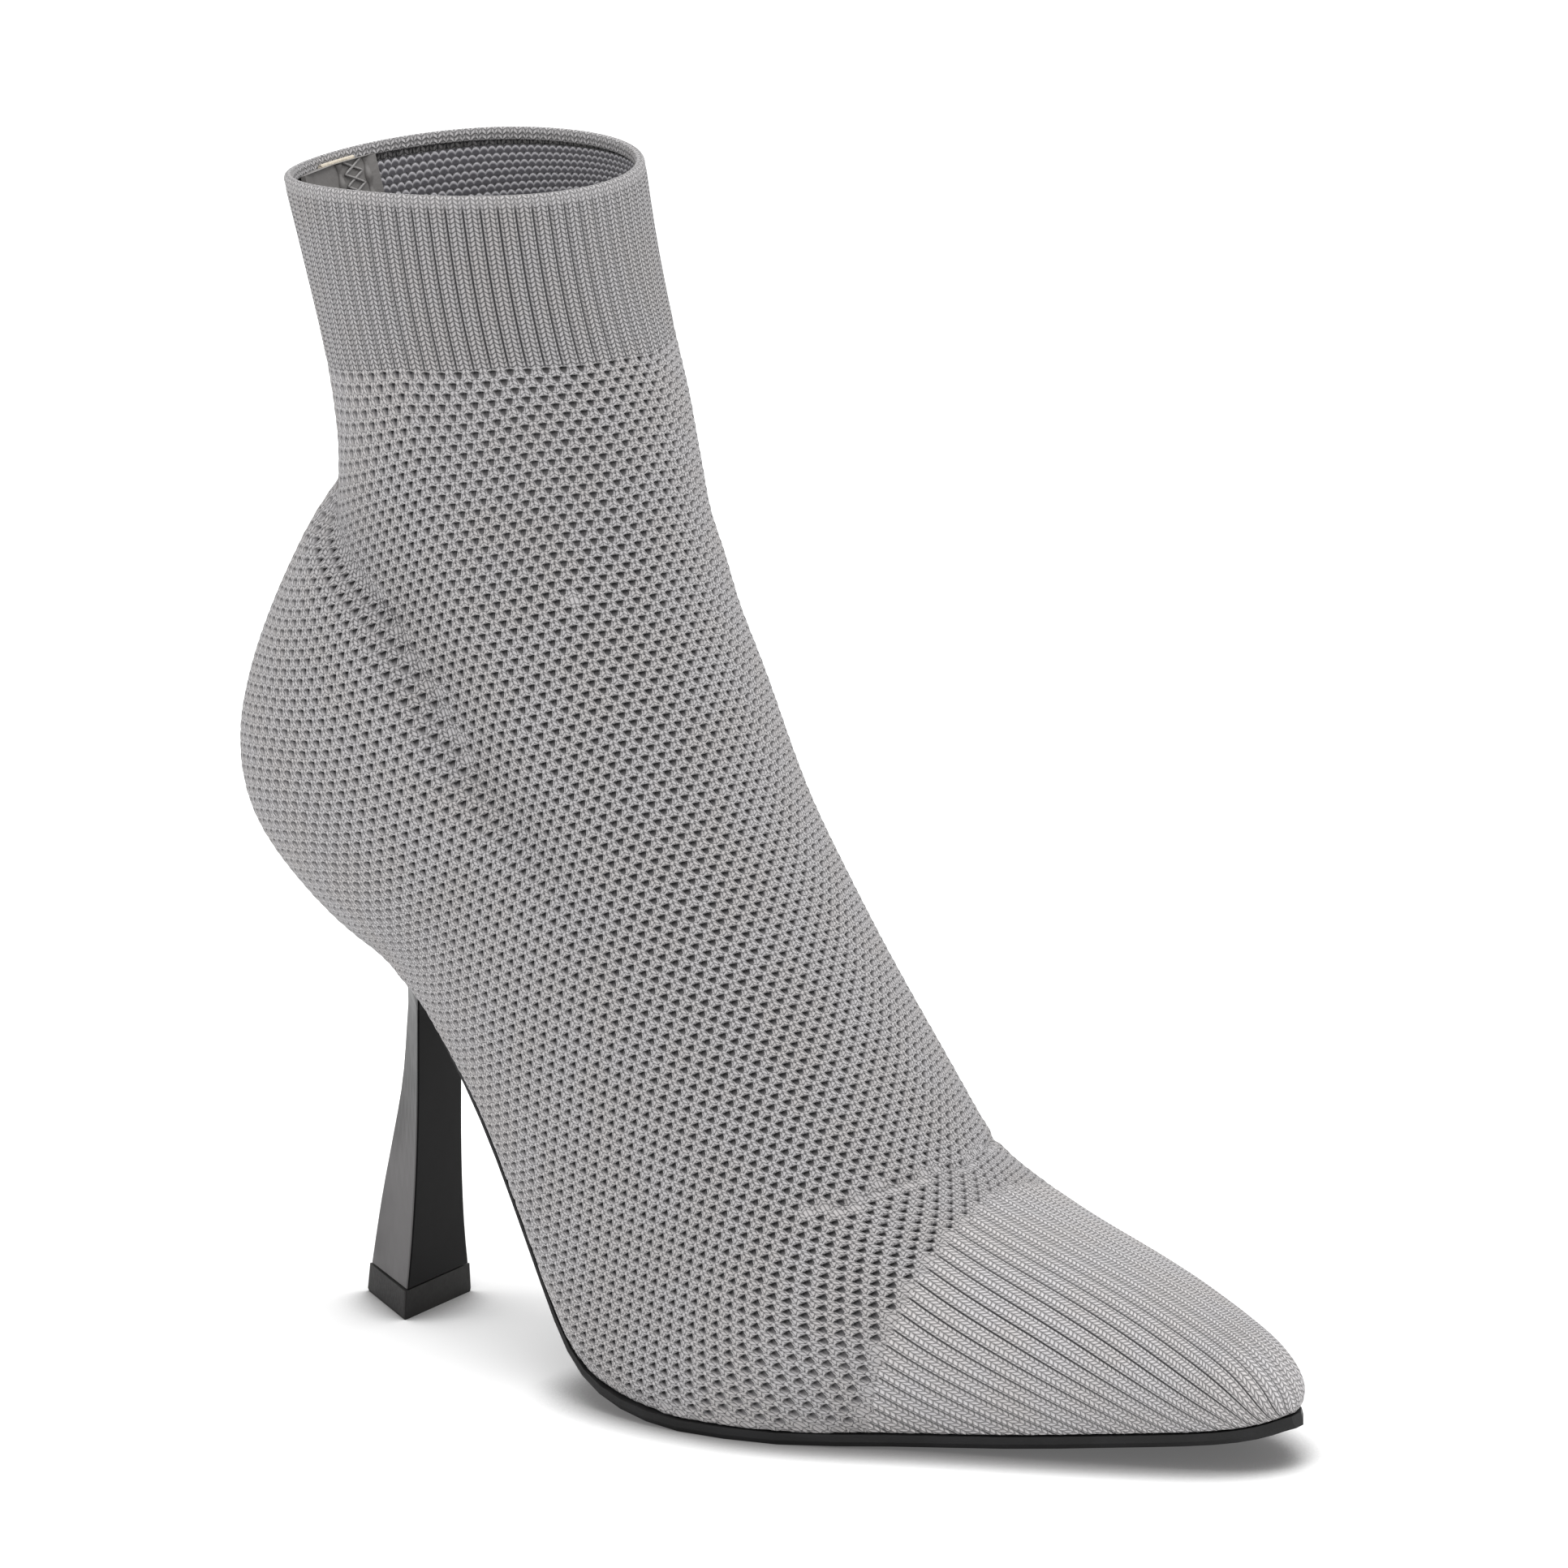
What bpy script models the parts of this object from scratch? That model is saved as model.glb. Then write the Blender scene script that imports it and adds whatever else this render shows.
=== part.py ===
# A right-foot sock boot: knitted upper, outsole, insole, heel, top piece and back stay.
# +X is toward the toe, +Y is the inner side of the foot, +Z is up. Sizes are in metres.
import bpy
import bmesh
import numpy as np

# Main sizes
LENGTH = 0.2400
HEIGHT = 0.2325
BALL_WIDTH = 0.0760
HEEL_WIDTH = 0.0228
HEEL_DEPTH = 0.0172

# Thicknesses and clearances
WALL = 0.0018
SOLE_THICK = 0.0024
SHANK_THICK = 0.0010
SOLE_LIP = 0.0005
SOLE_CHAMFER = 0.0005
INSOLE_THICK = 0.0018
TOP_PIECE = 0.0058
COLLAR_DIP = 0.0016
STAY_THICK = 0.0009
STAY_WIDTH = 0.0260
CORNER = 0.0006
GAP = 0.0003
INSOLE_GAP = 0.0005

# The frame's origin lies under the ball of the foot, this share of LENGTH before the heel
ORIGIN_SHARE = 0.380

# The sections start above the outsole and end at the collar
BASE = SOLE_THICK + GAP
RISE = HEIGHT - BASE

# Points around each section, even so that one lies on the ridge
AROUND = 42

# One row is one section of the foot, from the toe tip to the collar.
# bx, bz: foot of the section, as a share of LENGTH and of RISE above BASE
# fx, fz: ridge of the section, in the same shares
# wide: largest half width, and edge: half width at the sole, as shares of BALL_WIDTH
# swing, lean: sideways shift of the sole and of the ridge, as shares of BALL_WIDTH
# belly: share of the section's height at which it is widest
# square: 2 is an ellipse, more is boxier
# bed: height of the insole above the foot of the section, as a share of RISE
COLUMNS = ("bx", "bz", "fx", "fz", "wide", "edge", "swing", "lean", "belly", "square", "bed")
SECTIONS = (
    (0.790, 0.034, 0.791, 0.043, 0.021, 0.016, 0.151, 0.151, 0.45, 2.0, 0.0),
    (0.782, 0.031, 0.788, 0.060, 0.085, 0.072, 0.151, 0.150, 0.45, 2.1, 0.0),
    (0.762, 0.026, 0.778, 0.084, 0.145, 0.125, 0.149, 0.146, 0.42, 2.2, 0.0),
    (0.725, 0.021, 0.744, 0.102, 0.198, 0.178, 0.141, 0.133, 0.40, 2.2, 0.0),
    (0.667, 0.015, 0.690, 0.124, 0.262, 0.241, 0.131, 0.114, 0.38, 2.2, 0.0),
    (0.592, 0.008, 0.631, 0.147, 0.330, 0.309, 0.105, 0.092, 0.36, 2.2, 0.0),
    (0.508, 0.003, 0.574, 0.169, 0.395, 0.375, 0.066, 0.071, 0.34, 2.2, 0.0),
    (0.425, 0.000, 0.525, 0.190, 0.470, 0.454, 0.020, 0.054, 0.34, 2.2, 0.0),
    (0.342, 0.000, 0.490, 0.216, 0.500, 0.480, -0.007, 0.040, 0.36, 2.2, 0.0),
    (0.275, 0.009, 0.465, 0.261, 0.487, 0.460, -0.018, 0.029, 0.40, 2.2, 0.0),
    (0.227, 0.035, 0.435, 0.316, 0.467, 0.421, -0.026, 0.018, 0.42, 2.2, 0.0),
    (0.183, 0.096, 0.398, 0.377, 0.447, 0.375, -0.026, 0.010, 0.44, 2.2, 0.0),
    (0.133, 0.174, 0.362, 0.438, 0.434, 0.322, -0.020, 0.005, 0.46, 2.2, 0.0),
    (0.077, 0.236, 0.332, 0.495, 0.428, 0.250, -0.013, 0.000, 0.48, 2.2, 0.009),
    (0.020, 0.284, 0.309, 0.552, 0.421, 0.165, 0.000, 0.000, 0.50, 2.2, 0.035),
    (-0.036, 0.308, 0.290, 0.604, 0.418, 0.000, 0.000, 0.000, 0.50, 2.2, 0.060),
    (-0.100, 0.347, 0.273, 0.647, 0.414, 0.000, 0.000, 0.000, 0.50, 2.2, 0.052),
    (-0.152, 0.401, 0.261, 0.687, 0.408, 0.000, 0.000, 0.000, 0.50, 2.2, 0.020),
    (-0.171, 0.461, 0.251, 0.721, 0.404, 0.000, 0.000, 0.000, 0.50, 2.1, 0.010),
    (-0.163, 0.518, 0.243, 0.754, 0.401, 0.000, 0.000, 0.000, 0.50, 2.1, 0.010),
    (-0.143, 0.575, 0.235, 0.787, 0.399, 0.000, 0.000, 0.000, 0.50, 2.1, 0.010),
    (-0.114, 0.636, 0.227, 0.817, 0.396, 0.000, 0.000, 0.000, 0.50, 2.1, 0.010),
    (-0.080, 0.705, 0.215, 0.850, 0.395, 0.000, 0.000, 0.000, 0.50, 2.1, 0.010),
    (-0.067, 0.784, 0.202, 0.888, 0.400, 0.000, 0.000, 0.000, 0.50, 2.1, 0.010),
    (-0.084, 0.878, 0.189, 0.940, 0.412, 0.000, 0.000, 0.000, 0.50, 2.1, 0.010),
    (-0.111, 0.980, 0.178, 1.000, 0.425, 0.000, 0.000, 0.000, 0.50, 2.1, 0.010),
)
LAST = len(SECTIONS) - 1
CLOSING = 15
INSOLE_FROM = 2.0
SEAT_FROM = 12.0
SEAT_END = 17
BREAST = 14.0
FLAT_SHARE = 0.0012

# The heel by height, as a share of its own height.
# half: half width, back: how far back the ridge is, front: how far forward the breast is
STEM_COLUMNS = ("up", "half", "back", "front")
STEM = (
    (0.00, 0.456, 0.935, 0.000),
    (0.12, 0.412, 0.870, 0.005),
    (0.28, 0.372, 0.775, 0.015),
    (0.48, 0.343, 0.635, 0.030),
    (0.70, 0.333, 0.490, 0.045),
    (1.00, 0.333, 0.395, 0.055),
)
STEM_TOP = 0.262


def clear_scene():
    for item in list(bpy.data.objects):
        bpy.data.objects.remove(item, do_unlink=True)
    for item in list(bpy.data.meshes):
        bpy.data.meshes.remove(item)


def spline(values, at):
    """Natural cubic spline through values, one unit apart, read at the places in at."""
    values = np.asarray(values, float)
    count = len(values)
    grid = np.eye(count)
    right = np.zeros(count)
    for i in range(1, count - 1):
        grid[i, i - 1 : i + 2] = (1.0, 4.0, 1.0)
        right[i] = 6.0 * (values[i - 1] - 2.0 * values[i] + values[i + 1])
    bend = np.linalg.solve(grid, right)
    at = np.asarray(at, float)
    low = np.clip(np.floor(at).astype(int), 0, count - 2)
    t = at - low
    a = values[low] * (1.0 - t) + values[low + 1] * t
    b = ((1.0 - t) ** 3 - (1.0 - t)) * bend[low]
    c = (t**3 - t) * bend[low + 1]
    return a + (b + c) / 6.0


def column(name, at):
    return spline([row[COLUMNS.index(name)] for row in SECTIONS], at)


def foot_line(at):
    """X and Z of the sections' feet: the sole line, then the back of the leg."""
    rise = np.maximum(column("bz", at), 0.0)
    rise = np.where(rise < FLAT_SHARE, 0.0, rise)
    return column("bx", at) * LENGTH, BASE + rise * RISE


def ridge_line(at):
    return column("fx", at) * LENGTH, BASE + column("fz", at) * RISE


def half_edge(at):
    """Half width where the section meets the sole. It is zero from CLOSING on."""
    wide = np.maximum(column("edge", at), 0.0) * BALL_WIDTH
    return np.where(np.asarray(at) >= CLOSING, 0.0, wide)


def collar_share(at):
    """0 below the cuff, 1 at the collar, smooth between."""
    t = min(max((float(at) - LAST + 3.0) / 3.0, 0.0), 1.0)
    return t * t * (3.0 - 2.0 * t)


def outline(at, side):
    """Heights and half widths of one side of a section, from its foot to its ridge."""
    bx, bz = foot_line(at)
    fx, fz = ridge_line(at)
    high = float(np.hypot(fx - bx, fz - bz))
    wide = float(column("wide", at)) * BALL_WIDTH
    edge = float(half_edge(at))
    belly = float(column("belly", at))
    power = 2.0 / float(column("square", at))
    start = np.arcsin(min(edge / wide, 0.999) ** (1.0 / power))
    low = np.linspace(start, np.pi / 2, 60)
    top = np.linspace(np.pi / 2, 0.0, 90)[1:]
    cut = np.cos(start) ** power
    low_h = belly * (1.0 - np.abs(np.cos(low)) ** power / cut)
    top_h = belly + (1.0 - belly) * np.abs(np.cos(top)) ** power
    h = np.concatenate([low_h, top_h])
    w = wide * np.concatenate([np.sin(low) ** power, np.abs(np.sin(top)) ** power])
    w[-1] = 0.0
    shift = column("swing", at) + (column("lean", at) - column("swing", at)) * h
    return h * high, shift * BALL_WIDTH + side * w


def placed(at, h, y):
    """Points of the section at the heights h and the sideways places y."""
    bx, bz = foot_line(at)
    fx, fz = ridge_line(at)
    high = np.hypot(fx - bx, fz - bz)
    x = bx + (fx - bx) * h / high
    z = bz + (fz - bz) * h / high
    wide = float(column("wide", at)) * BALL_WIDTH
    z = z + COLLAR_DIP * collar_share(at) * ((y / wide) ** 2 - 1.0)
    return np.stack([x, y, z], -1)


def section(at):
    """AROUND + 1 points, evenly spaced on each side, from the outer edge over the ridge."""
    sides = []
    for side in (-1.0, 1.0):
        h, y = outline(at, side)
        run = np.concatenate([[0.0], np.cumsum(np.hypot(np.diff(h), np.diff(y)))])
        even = np.linspace(0.0, run[-1], AROUND // 2 + 1)
        sides.append(placed(at, np.interp(even, run, h), np.interp(even, run, y)))
    return np.concatenate([sides[0], sides[1][-2::-1]])


def row_places():
    return np.linspace(0.0, LAST, 2 * LAST + 1)


def surface(places):
    return np.array([section(at) for at in places])


def normals(grid, places):
    """Outward unit normals of the grid, with the closed rows read right round."""
    rows, count = grid.shape[:2]
    across = np.empty_like(grid)
    across[:, 1:-1] = grid[:, 2:] - grid[:, :-2]
    for i in range(rows):
        if places[i] >= CLOSING:
            across[i, 0] = across[i, -1] = grid[i, 1] - grid[i, -2]
        else:
            across[i, 0] = grid[i, 1] - grid[i, 0]
            across[i, -1] = grid[i, -1] - grid[i, -2]
    along = np.gradient(grid, axis=0)
    out = np.cross(across, along)
    size = np.linalg.norm(out, axis=2, keepdims=True)
    out = out / np.maximum(size, 1e-12)
    if np.median(out[rows // 2, count // 2] * np.array([1.0, 0.0, 1.0])) < 0.0:
        out = -out
    nose = np.array([1.0, 0.0, 0.0]) * 2.0 + out[0]
    out[0] = nose / np.linalg.norm(nose, axis=1, keepdims=True)
    return out


def make(name, points, faces, colour, rough, metal=0.0, sharp=35.0):
    """One closed object from points and faces, smooth with sharp edges kept."""
    work = bmesh.new()
    shift = np.array([ORIGIN_SHARE * LENGTH, 0.0, 0.0])
    verts = [work.verts.new([float(v) for v in p - shift]) for p in np.asarray(points)]
    for face in faces:
        kept = [i for n, i in enumerate(face) if i != face[n - 1]]
        if len(kept) > 2:
            work.faces.new([verts[i] for i in kept])
    bmesh.ops.remove_doubles(work, verts=work.verts, dist=1e-6)
    loose = [v for v in work.verts if not v.link_faces]
    bmesh.ops.delete(work, geom=loose, context="VERTS")
    bmesh.ops.recalc_face_normals(work, faces=work.faces)
    if work.calc_volume(signed=True) < 0.0:
        bmesh.ops.reverse_faces(work, faces=work.faces)
    mesh = bpy.data.meshes.new(name)
    work.to_mesh(mesh)
    work.free()
    item = bpy.data.objects.new(name, mesh)
    bpy.context.scene.collection.objects.link(item)
    for face in mesh.polygons:
        face.use_smooth = True
    mesh.set_sharp_from_angle(angle=np.radians(sharp))
    material = bpy.data.materials.new(name)
    material.use_nodes = True
    shader = material.node_tree.nodes["Principled BSDF"]
    shader.inputs["Base Color"].default_value = (*colour, 1.0)
    shader.inputs["Roughness"].default_value = rough
    shader.inputs["Metallic"].default_value = metal
    mesh.materials.append(material)
    return item


def strip_faces(loop_a, loop_b, closed=True):
    count = len(loop_a)
    steps = count if closed else count - 1
    faces = []
    for i in range(steps):
        j = (i + 1) % count
        faces.append((loop_a[i], loop_a[j], loop_b[j], loop_b[i]))
    return faces


def fan(points, loop):
    """Adds the middle of the loop to points and closes the loop with triangles."""
    middle = len(points)
    points.append(np.mean([points[i] for i in loop], axis=0))
    return [(loop[i - 1], loop[i], middle) for i in range(len(loop))]


def make_upper(grid, out, places):
    """The knitted shell: outer and inner skins joined at the collar and along the sole."""
    rows, count = grid.shape[:2]
    inner = grid - out * WALL
    lip = 0.5 * (grid[-1] + inner[-1])
    points = list(grid.reshape(-1, 3)) + list(inner.reshape(-1, 3))
    half = rows * count

    def at(i, j, layer=0):
        if j == count - 1 and places[i] >= CLOSING:
            j = 0
        return layer * half + i * count + j

    faces = []
    for layer in (0, 1):
        for i in range(rows - 1):
            for j in range(count - 1):
                quad = (at(i, j, layer), at(i, j + 1, layer))
                faces.append(quad + (at(i + 1, j + 1, layer), at(i + 1, j, layer)))
        faces += fan(points, [at(0, j, layer) for j in range(count)])
    shut = int(np.argmax(places >= CLOSING))
    left = [(i, 0) for i in range(shut + 1)]
    right = [(i, count - 1) for i in range(shut - 1, -1, -1)]
    loop = left + right
    faces += strip_faces([at(i, j) for i, j in loop], [at(i, j, 1) for i, j in loop])
    ring = [at(rows - 1, j) for j in range(count - 1)]
    ring_in = [at(rows - 1, j, 1) for j in range(count - 1)]
    top = []
    rim = unit(grid[-1] - grid[-2]) * WALL * 0.35
    for j in range(count - 1):
        top.append(len(points))
        points.append(lip[j] + rim[j])
    faces += strip_faces(ring, top)
    faces += strip_faces(top, ring_in)
    return make("upper_knit", points, faces, (0.40, 0.395, 0.40), 0.9, sharp=60.0)


def unit(vectors):
    size = np.linalg.norm(vectors, axis=-1, keepdims=True)
    return vectors / np.maximum(size, 1e-12)


def sole_frame(places):
    """Foot line points, sideways shift and the downward normal of the sole at each place."""
    x, z = foot_line(places)
    step = 0.05
    xa, za = foot_line(np.maximum(places - step, 0.0))
    xb, zb = foot_line(places + step)
    run = unit(np.stack([xa - xb, np.zeros_like(xa), za - zb], -1))
    down = np.stack([run[:, 2], np.zeros_like(xa), -run[:, 0]], -1)
    middle = np.stack([x, column("swing", places) * BALL_WIDTH, z], -1)
    return middle, down


def plate(name, middle, half_left, half_right, near, far, chamfer, colour, rough):
    """A curved plate: middle line, half widths, its two faces as offsets, and ends."""
    points = []
    loops = []
    shares = (-1.0, -0.5, 0.0, 0.5, 1.0)
    for i in range(len(middle)):
        loop = []
        profile = [(s, near[i], 0.0) for s in shares]
        profile += [(1.0, 0.6 * far[i] + 0.4 * near[i], 0.0)]
        profile += [(s, far[i], chamfer) for s in shares[::-1]]
        profile += [(-1.0, 0.6 * far[i] + 0.4 * near[i], 0.0)]
        for s, offset, inset in profile:
            half = half_right[i] if s > 0 else half_left[i]
            loop.append(len(points))
            side = np.array([0.0, s * max(half - inset * abs(s), 0.0004), 0.0])
            points.append(middle[i] + side + offset)
        loops.append(loop)
    faces = []
    for a, b in zip(loops[:-1], loops[1:]):
        faces += strip_faces(a, b)
    faces += fan(points, loops[0])
    faces += fan(points, loops[-1])
    return make(name, points, faces, colour, rough)


def shank_share(places):
    """0 in the forefoot, 1 along the shank, smooth between."""
    t = np.clip((places - 8.0) / 3.0, 0.0, 1.0)
    return t * t * (3.0 - 2.0 * t)


def sole_thickness(places):
    t = shank_share(places)
    return SOLE_THICK + (SHANK_THICK - SOLE_THICK) * t


def make_outsole():
    places = np.concatenate([np.linspace(0.0, 8.0, 17), np.linspace(8.0, BREAST, 16)[1:]])
    middle, down = sole_frame(places)
    middle[0, 0] += SOLE_LIP
    lip = SOLE_LIP * (1.0 - 4.0 * shank_share(places))
    half = half_edge(places) + lip
    near = down * GAP
    far = down * (GAP + sole_thickness(places))[:, None]
    thick = far[:, 2] + middle[:, 2]
    flat = middle[:, 2] <= BASE + 1e-9
    far[:, 2] = np.where(flat, -middle[:, 2], far[:, 2])
    far[:, 2] = np.where(thick < 0.0, -middle[:, 2], far[:, 2])
    black = (0.012, 0.012, 0.012)
    return plate("outsole", middle, half, half, near, far, SOLE_CHAMFER, black, 0.6)


def seat_room(row, at, high, side):
    """Sideways place of the inner skin's row at the height high above its foot."""
    bx, bz = foot_line(at)
    fx, fz = ridge_line(at)
    way = unit(np.array([fx - bx, 0.0, fz - bz]))
    h = (row - np.array([bx, 0.0, bz])) @ way
    half = len(row) // 2
    part = slice(0, half + 1) if side < 0 else slice(len(row) - 1, half - 1, -1)
    h, y = h[part], row[part, 1]
    widest = int(np.argmax(np.abs(y))) + 1
    return float(np.interp(high, h[:widest], y[:widest]))


def make_insole(grid, out, places):
    """The insole: on the sole in front, then rising to a flatter seat over the heel."""
    inner = grid - out * WALL
    count = grid.shape[1]
    opened = [i for i, at in enumerate(places) if at < CLOSING]
    middle = []
    half = []
    near = []
    far = []
    for i, at in enumerate(places):
        if at < INSOLE_FROM or at > SEAT_END:
            continue
        bed = max(float(column("bed", at)), 0.0) * RISE
        if at <= SEAT_FROM:
            x = float(foot_line(at)[0])
            edges = []
            for j in (0, 1, count - 2, count - 1):
                line = inner[opened, j]
                order = np.argsort(line[:, 0])
                edges.append(float(np.interp(x, line[order, 0], line[order, 1])))
            low, high = max(edges[:2]), min(edges[2:])
        else:
            levels = (bed, bed + INSOLE_THICK)
            low = max(seat_room(inner[i], at, level, -1) for level in levels) + INSOLE_GAP
            high = min(seat_room(inner[i], at, level, 1) for level in levels) - INSOLE_GAP
        low += INSOLE_GAP
        high -= INSOLE_GAP
        centre = 0.5 * (low + high)
        base = placed(at, np.array(bed), np.array(centre))
        tip = placed(at, np.array(bed + INSOLE_THICK), np.array(centre))
        middle.append(base)
        half.append(0.5 * (high - low))
        near.append(np.zeros(3))
        far.append(tip - base)
    grey = (0.42, 0.41, 0.40)
    return plate("insole", middle, half, half, near, far, 0.0, grey, 0.8)


def rounded(corners, bulge, radius, counts):
    """A closed ring with each corner rounded and each side bowed outward by bulge."""
    corners = [np.asarray(c, float) for c in corners]
    centre = sum(corners) / len(corners)
    ring = []
    total = len(corners)
    for n in range(total):
        here = corners[n]
        before = unit(corners[n - 1] - here)
        after = unit(corners[(n + 1) % total] - here)
        cut = radius
        a = here + before * cut
        b = here + after * cut
        for t in (0.0, 0.5, 1.0):
            ring.append((1 - t) ** 2 * a + 2 * t * (1 - t) * here + t * t * b)
        nxt = corners[(n + 1) % total]
        start = here + after * cut
        end = nxt - after * cut
        outward = unit(0.5 * (start + end) - centre)
        for k in range(1, counts[n] + 1):
            t = k / (counts[n] + 1.0)
            ring.append(start + (end - start) * t + outward * bulge[n] * 4 * t * (1 - t))
    return np.array(ring)


HEEL_SIDES = (3, 4, 4)


def heel_ring(half, back, front, z):
    corners = [(front, -half), (front, half), (-back, 0.0)]
    flat = rounded(corners, (0.0, 0.0, 0.0), CORNER, HEEL_SIDES)
    return np.column_stack([flat, np.full(len(flat), z)])


def drop(ring, depth):
    """The ring laid on the sole line at its own X, then moved down the sole's normal."""
    places = np.linspace(12.0, CLOSING + 1.5, 120)
    middle, down = sole_frame(places)
    order = np.argsort(middle[:, 0])
    x = middle[order, 0]
    z = np.interp(ring[:, 0], x, middle[order, 2])
    nx = np.interp(ring[:, 0], x, down[order, 0])
    nz = np.interp(ring[:, 0], x, down[order, 2])
    out = np.column_stack([ring[:, 0], ring[:, 1], z])
    out[:, 0] += nx * depth
    out[:, 2] += nz * depth
    return out


def make_heel():
    front_x = float(foot_line(BREAST)[0]) - GAP
    back_x = float(foot_line(CLOSING)[0]) + SOLE_LIP
    half = float(half_edge(BREAST)) - SOLE_LIP
    corners = [(front_x, -half), (front_x, half), (back_x, 0.0)]
    bow = 0.25 * half
    seat = rounded(corners, (0.0, bow, bow), 3.0 * CORNER, HEEL_SIDES)
    rings = [drop(seat, GAP), drop(seat, GAP + SHANK_THICK)]
    stem_low = TOP_PIECE + GAP
    stem_high = STEM_TOP * HEIGHT
    shares, halves, backs, fronts = zip(*STEM)
    heights = np.linspace(1.0, 0.0, 13)
    stem = []
    for t in heights:
        wide = smooth_read(t, shares, halves) * HEEL_WIDTH
        back = smooth_read(t, shares, backs) * HEEL_DEPTH
        front = smooth_read(t, shares, fronts) * HEEL_DEPTH
        z = stem_low + (stem_high - stem_low) * t
        stem.append(heel_ring(wide, back, front, z))
    neck = rings[-1]
    for t in (0.3, 0.6, 0.85):
        flat = np.sin(t * np.pi / 2)
        tall = 1.0 - np.cos(t * np.pi / 2)
        ring = neck + (stem[0] - neck) * np.array([flat, flat, tall])
        rings.append(ring)
    rings += stem
    points = [p for ring in rings for p in ring]
    size = len(rings[0])
    loops = [list(range(n * size, (n + 1) * size)) for n in range(len(rings))]
    faces = []
    for a, b in zip(loops[:-1], loops[1:]):
        faces += strip_faces(a, b)
    faces += fan(points, loops[0])
    faces += fan(points, loops[-1])
    return make("heel", points, faces, (0.015, 0.014, 0.014), 0.22, sharp=30.0)


def smooth_read(t, shares, values):
    """A smooth curve through unevenly spaced values, by local cubics."""
    shares = np.asarray(shares, float)
    values = np.asarray(values, float)
    slope = np.gradient(values, shares)
    i = int(np.clip(np.searchsorted(shares, t) - 1, 0, len(shares) - 2))
    w = shares[i + 1] - shares[i]
    u = (t - shares[i]) / w
    a = (1 + 2 * u) * (1 - u) ** 2 * values[i] + u * (1 - u) ** 2 * w * slope[i]
    b = u * u * (3 - 2 * u) * values[i + 1] + u * u * (u - 1) * w * slope[i + 1]
    return a + b


def make_top_piece():
    half = 0.5 * HEEL_WIDTH
    rings = []
    for z, grow in ((TOP_PIECE, 0.965), (0.0006, 1.0), (0.0, 0.98)):
        rings.append(heel_ring(half * grow, HEEL_DEPTH * grow, 0.0, z))
    points = [p for ring in rings for p in ring]
    size = len(rings[0])
    loops = [list(range(n * size, (n + 1) * size)) for n in range(len(rings))]
    faces = []
    for a, b in zip(loops[:-1], loops[1:]):
        faces += strip_faces(a, b)
    faces += fan(points, loops[0])
    faces += fan(points, loops[-1])
    return make("heel_top_piece", points, faces, (0.014, 0.013, 0.013), 0.65)


def make_stay(grid, out, places):
    """A leather strip inside the back of the collar."""
    rows = [i for i, at in enumerate(places) if at >= 18.5]
    count = grid.shape[1]
    spread = 5
    points = []
    loops = []
    for i in rows:
        ring = grid[i][:-1]
        ring_out = out[i][:-1]
        steps = range(-spread, spread + 1)
        line = np.array([ring[j % (count - 1)] for j in steps])
        away = np.array([ring_out[j % (count - 1)] for j in steps])
        run = np.concatenate([[0.0], np.cumsum(np.linalg.norm(np.diff(line, axis=0), axis=1))])
        run = run - run[spread]
        even = np.linspace(-0.5 * STAY_WIDTH, 0.5 * STAY_WIDTH, 7)
        line = np.column_stack([np.interp(even, run, line[:, k]) for k in range(3)])
        away = unit(np.column_stack([np.interp(even, run, away[:, k]) for k in range(3)]))
        if i == rows[-1]:
            down = unit(grid[i - 1][0] - grid[i][0])
            line = line + down * 0.0012
        near = line - away * (WALL + GAP)
        far = line - away * (WALL + GAP + STAY_THICK)
        loop = list(range(len(points), len(points) + 14))
        points += list(near) + list(far[::-1])
        loops.append(loop)
    faces = []
    for a, b in zip(loops[:-1], loops[1:]):
        faces += strip_faces(a, b)
    faces += fan(points, loops[0])
    faces += fan(points, loops[-1])
    return make("back_stay", points, faces, (0.33, 0.32, 0.31), 0.55)


def main():
    clear_scene()
    places = row_places()
    grid = surface(places)
    out = normals(grid, places)
    make_upper(grid, out, places)
    make_outsole()
    make_insole(grid, out, places)
    make_heel()
    make_top_piece()
    make_stay(grid, out, places)


main()
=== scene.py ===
import bpy
import numpy as np
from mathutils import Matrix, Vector


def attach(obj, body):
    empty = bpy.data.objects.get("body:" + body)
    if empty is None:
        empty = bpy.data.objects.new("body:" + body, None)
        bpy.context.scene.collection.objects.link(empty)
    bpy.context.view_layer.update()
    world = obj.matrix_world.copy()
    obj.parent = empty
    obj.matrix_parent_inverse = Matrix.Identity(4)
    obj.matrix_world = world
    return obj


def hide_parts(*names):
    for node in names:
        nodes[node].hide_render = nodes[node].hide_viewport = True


# Main sizes, the same as the solids' own. CLOSING is the station where the section closes.
LENGTH = 0.2400
HEIGHT = 0.2325
BALL_WIDTH = 0.0760
WALL = 0.0018
COLLAR_DIP = 0.0016
ORIGIN_SHARE = 0.380
BASE = 0.0027
RISE = HEIGHT - BASE
CLOSING = 15
FLAT_SHARE = 0.0012

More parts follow.
